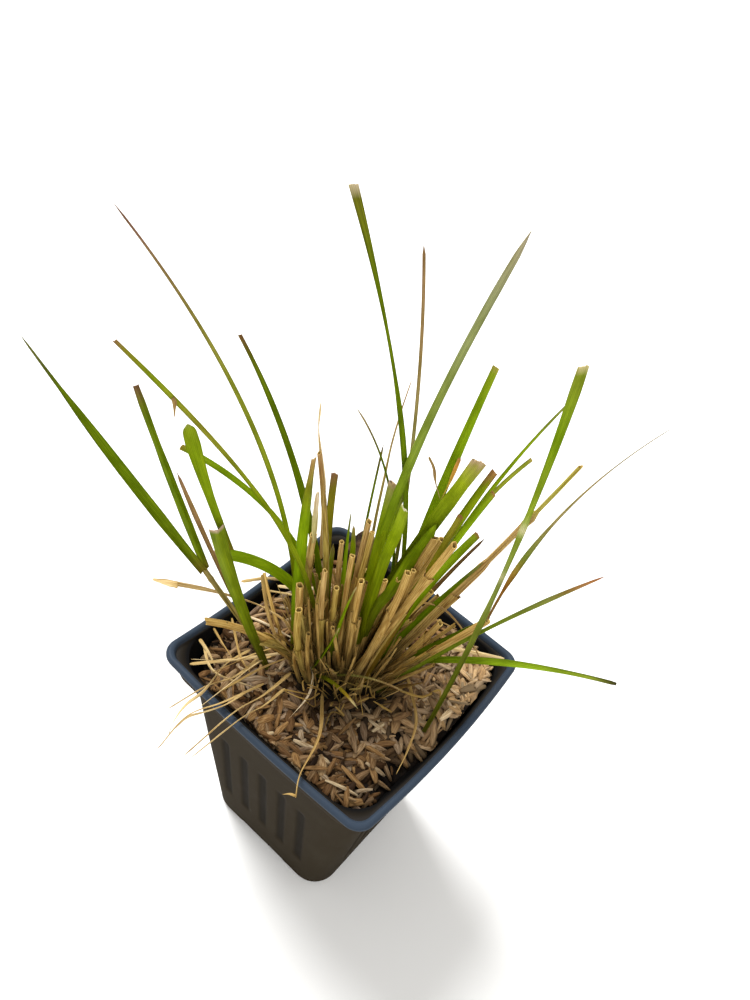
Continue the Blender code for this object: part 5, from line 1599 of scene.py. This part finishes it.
@dataclass(frozen=True)
class DeadThatch:
    """What fills the clump between the stems: thin dry stalks, old leaf bases and curled shreds."""

    stalks: int = 72
    shreds: int = 230
    curls: int = 48
    seed: int = 5

    LEVEL = 93.8
    STALKS = ("#957634", "#84662a", "#a3864a", "#785a2a", "#8a7a36", "#6d6522")
    SHREDS = ("#8a6b34", "#7a5c2c", "#9a7c44", "#6d4f26", "#a48a55", "#b59b6a")
    CURLS = ("#7f6228", "#5d421a", "#9a7b3c", "#b89a5c", "#6f6426")

    def stalk_piece(self, finish: bpy.types.Material) -> bpy.types.Object:
        """Make the thin stalks, each close beside one of the cut stems and leaning like it.

        Args:
            finish: their material.

        Returns:
            All the stalks as one piece.
        """
        chance = random.Random(self.seed)
        builder = MeshBuilder()
        neighbours = [stem for stem in CULMS if stem.name.startswith("cut_stem") and stem.length > 40]
        for number in range(self.stalks):
            beside = neighbours[number % len(neighbours)]
            foot = tuple(place + chance.uniform(-2.6, 2.6) for place in beside.foot)
            length = min(58.0, beside.length) * chance.uniform(0.4, 0.85)
            tan = chance.choice(self.STALKS)
            # the near-black foot is painted shade low in the clump; the tan is the stalk's own
            stops = ((0.0, "#120b04"), (0.12, "#38260e"), (0.30, "#6e5020"), (0.55, tan), (1.0, tan))
            heading, lean = beside.heading + chance.gauss(0, 10), beside.lean + chance.gauss(0, 3.0)
            droop, width = beside.droop + chance.uniform(-4, 6), chance.uniform(0.9, 1.9)
            stalk = ThinCulm(f"stalk_{number}", foot, heading, lean, droop, beside.swing, length, width,
                             self.LEVEL, stops)
            stalk.add_to(builder)
        return builder.build("dead_stalks", finish)

    def shred_piece(self, finish: bpy.types.Material) -> bpy.types.Object:
        """Make the old leaf bases and shreds low in the clump.

        Args:
            finish: their material.

        Returns:
            The thatch as one piece.
        """
        chance = random.Random(self.seed)
        builder = MeshBuilder()
        for _ in range(self.shreds):
            self.shred(chance).add_to(builder)
        for _ in range(self.curls):
            self.curl(chance).add_to(builder)
        return builder.build("dead_thatch", finish)

    def shred(self, chance: random.Random) -> Strand:
        """Draw one old leaf base that stands in the crown and leans outwards.

        Args:
            chance: the source of chance.

        Returns:
            The leaf base.
        """
        turn, reach = chance.uniform(0, math.tau), math.sqrt(chance.random())
        x, y = in_crown(turn, 0.88 * reach, 0.84 * reach)
        heading = math.degrees(math.atan2(y - CROWN_CENTRE[1], x - CROWN_CENTRE[0])) + chance.gauss(0, 18)
        lean = 4 + 22 * reach**1.5 + chance.gauss(0, 5)
        length = chance.uniform(14, 40) * (1 - 0.3 * reach)
        droop, swing = chance.uniform(-6, 22), chance.uniform(-25, 25)
        points, _ = centreline((x, y, 93.6), heading, lean, droop, swing, length, 4)
        base = chance.choice(self.SHREDS)
        # the near-black foot of each leaf base is painted shade low in the clump
        return Strand("shred", points, chance.uniform(0.6, 1.8), chance.uniform(0.3, 0.9), 0.22,
                      chance.uniform(-90, 90),
                      ((0.0, "#0c0703"), (0.22, "#38260f"), (0.6, base), (1.0, base)))

    def curl(self, chance: random.Random) -> Strand:
        """Draw one hair-thin curled shred that lies in the crown's edge.

        Args:
            chance: the source of chance.

        Returns:
            The shred.
        """
        turn, reach = chance.uniform(0, math.tau), chance.uniform(0.5, 1.1)
        path = [Vector((*in_crown(turn, reach, reach), 96.5 + chance.uniform(0, 14) * (1.3 - reach)))]
        for _ in range(3):
            step = Vector(tuple(chance.gauss(0, spread) for spread in (3.4, 3.4, 1.6)))
            path.append(path[-1] + step)
            path[-1].z = max(96.0, path[-1].z)
        base = chance.choice(self.CURLS)
        return Strand("curl", path, chance.uniform(0.4, 0.9), chance.uniform(0.4, 0.9), 0.35,
                      chance.uniform(-200, 200), ((0.0, base), (1.0, base)))


@dataclass(frozen=True)
class Bark:
    """The lump of bark that leans in the back corner."""

    foot: Point = (-26.8, 34.6, 96.0)
    top: Point = (-28.0, 41.5, 111.0)
    half_sizes: Pair = (5.7, 3.2)
    steps: int = 30
    sides: int = 28

    FLAKES = ((0.22, 1.7), (0.12, 5), (0.07, 12))

    def build(self, finish: bpy.types.Material) -> bpy.types.Object:
        """Make the lump with a rough, flaky surface.

        Args:
            finish: its material.

        Returns:
            The lump.
        """
        builder = MeshBuilder()
        for share in (ring / self.steps for ring in range(self.steps + 1)):
            swell = math.sin(math.pi * (0.12 + 0.76 * share)) ** 0.6
            centre = Vector(self.foot).lerp(Vector(self.top), share)
            row = []
            for angle in (math.tau * side / self.sides for side in range(self.sides)):
                spot = Vector((math.cos(angle), math.sin(angle), 3 * share))
                rough = 1 + sum(depth * noise.noise(spot * scale) for depth, scale in self.FLAKES)
                half = Vector((self.half_sizes[0] * spot.x, self.half_sizes[1] * spot.y, 0))
                row.append(centre + half * (swell * rough))
            builder.add_ring(row)
        builder.skin(self.sides)
        return builder.build("bark_lump_rough", finish, 60.0)


@dataclass(frozen=True)
class Lamp:
    """A distant soft light: where it shines from, how wide it looks in degrees, and its strength."""

    name: str
    place: Point
    breadth: float
    power: float

    def build(self) -> None:
        """Hang the lamp, aimed at the middle of the plant."""
        light = bpy.data.lights.new(self.name, "SUN")
        light.angle, light.energy = math.radians(self.breadth), self.power
        lamp = add_object(self.name, light)
        lamp.location = self.place
        lamp.rotation_euler = (Vector((0, 0, 0.1)) - Vector(self.place)).to_track_quat("-Z", "Y").to_euler()


@dataclass(frozen=True)
class Studio:
    """The plain floor, the soft light and the camera at the photograph's place."""

    place: Point = (84.5, -151.5, 345.7)
    yaw: float = -30.38
    pitch: float = 43.99
    roll: float = 13.87
    lens: float = 30.7
    sky: str = "#fffdf9"
    sky_power: float = 0.62
    half_floor: float = 3.0
    lamps: tuple[Lamp, ...] = (Lamp("key", (-0.55, 0.15, 0.95), 27.0, 4.2),
                               Lamp("fill", (0.7, -0.5, 0.8), 45.0, 1.0))

    def build(self, finish: bpy.types.Material) -> None:
        """Set up the floor, the lights and the camera.

        Args:
            finish: the floor's material.
        """
        half = self.half_floor
        mesh = bpy.data.meshes.new("floor")
        corners = [(-half, -half, 0), (half, -half, 0), (half, half, 0), (-half, half, 0)]
        mesh.from_pydata(corners, [], [(0, 1, 2, 3)])
        mesh.materials.append(finish)
        add_object("floor", mesh)
        world = bpy.data.worlds.new("sky")
        world.use_nodes = True
        sky = world.node_tree.nodes["Background"].inputs
        sky["Color"].default_value, sky["Strength"].default_value = (*linear(self.sky), 1.0), self.sky_power
        bpy.context.scene.world = world
        for lamp in self.lamps:
            lamp.build()
        self.camera()

    def camera(self) -> None:
        """Place the camera where the photograph was taken from."""
        yaw, pitch, roll = (math.radians(angle) for angle in (self.yaw, self.pitch, self.roll))
        ahead = Vector((math.sin(yaw) * math.cos(pitch), math.cos(yaw) * math.cos(pitch), -math.sin(pitch)))
        right = Vector((math.cos(yaw), -math.sin(yaw), 0.0))
        up = right.cross(ahead)
        across = right * math.cos(roll) + up * math.sin(roll)
        upright = up * math.cos(roll) - right * math.sin(roll)
        data = bpy.data.cameras.new("camera")
        data.lens, data.sensor_width, data.clip_start = self.lens, 36.0, 0.01
        camera = add_object("camera", data)
        turn = Matrix((across, upright, -ahead)).transposed().to_4x4()
        camera.matrix_world = Matrix.Translation(Vector(self.place) * MM) @ turn
        bpy.context.scene.camera = camera


@dataclass
class PottedGrass:
    """The whole dressed plant."""

    pot: NurseryPot = field(default_factory=NurseryPot)
    mulch: Mulch = field(default_factory=Mulch)
    bark: Bark = field(default_factory=Bark)
    thatch: DeadThatch = field(default_factory=DeadThatch)

    @staticmethod
    def place(piece: bpy.types.Object, slot: str, *nodes: str) -> None:
        """Attach a piece to the body root, on which everything here rides, and hide the solids that it stands
        for.

        Args:
            piece: the piece.
            slot: not used.
            *nodes: the solids that it stands for.
        """
        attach(piece, "root")
        if nodes:
            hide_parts(*nodes)
        log.info("%s: %d faces", piece.name, len(piece.data.polygons))

    def build(self) -> None:
        """Build every piece and put it in place of its solid."""
        blade = RibbedBlade("grass blade, fresh and ribbed", 0.42, 0.25).build()
        culm = DryCulm("dry culm, split into fibres", 0.62, 0.35).build()
        straw = DryCulm("dead strand, bleached", 0.7, 0.25).build()
        plastic = MouldedPlastic("polypropylene, moulded and dusty", 0.42, 0.06).build()
        hull = DryHull("hulls and shreds, sun-dried", 0.75, 0.35).build()
        peat = Earth("peat, damp and crumbly", 0.95, 0.8).build()
        bark = Earth("bark, weathered and flaky", 0.9, 0.8, "#1c120c", "#7a5c40", 2.6).build()
        # the crown's near-black tones are its dead brown darkened further as painted shade under the clump
        crown = Earth("crown, dead and fibrous", 0.95, 0.6, "#0d0904", "#2c1f0e", 1.0).build()
        self.place(self.pot.build(plastic), "pot_plastic", "pot")
        bed, tree = self.mulch.bed(peat, self.pot), self.mulch.scatter_tree()
        for layer in self.mulch.passes:
            self.place(self.mulch.strew(layer, tree, bed, hull), "mulch_hulls")
        self.place(bed, "mulch_hulls", "mulch")
        self.place(self.bark.build(bark), "bark", "bark_lump")
        for pieces, small, finish, slot in ((BLADES, SMALL_BLADES, blade, "green_leaf"),
                                            (CULMS, SMALL_CULMS, culm, "cut_stem"),
                                            (STRANDS, SMALL_STRANDS, straw, "straw")):
            for piece in pieces:
                self.place(piece.build(finish), slot, piece.name)
            for piece in small:
                self.place(piece.build(finish), slot)
        self.place(self.thatch.stalk_piece(culm), "cut_stem")
        self.place(self.thatch.shred_piece(culm), "crown_fibre")
        for name, finish in (("potting_soil", peat), ("crown", crown)):
            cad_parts[name].data.materials.clear()
            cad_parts[name].data.materials.append(finish)


def main() -> None:
    """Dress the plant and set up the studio."""
    logging.basicConfig(level=logging.INFO, format="%(message)s")
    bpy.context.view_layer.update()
    PottedGrass().build()
    Studio().build(PaleFloor("floor, matt and pale", 0.9).build())
    bpy.context.scene.view_settings.view_transform = "Standard"


if __name__ == "__main__":
    main()
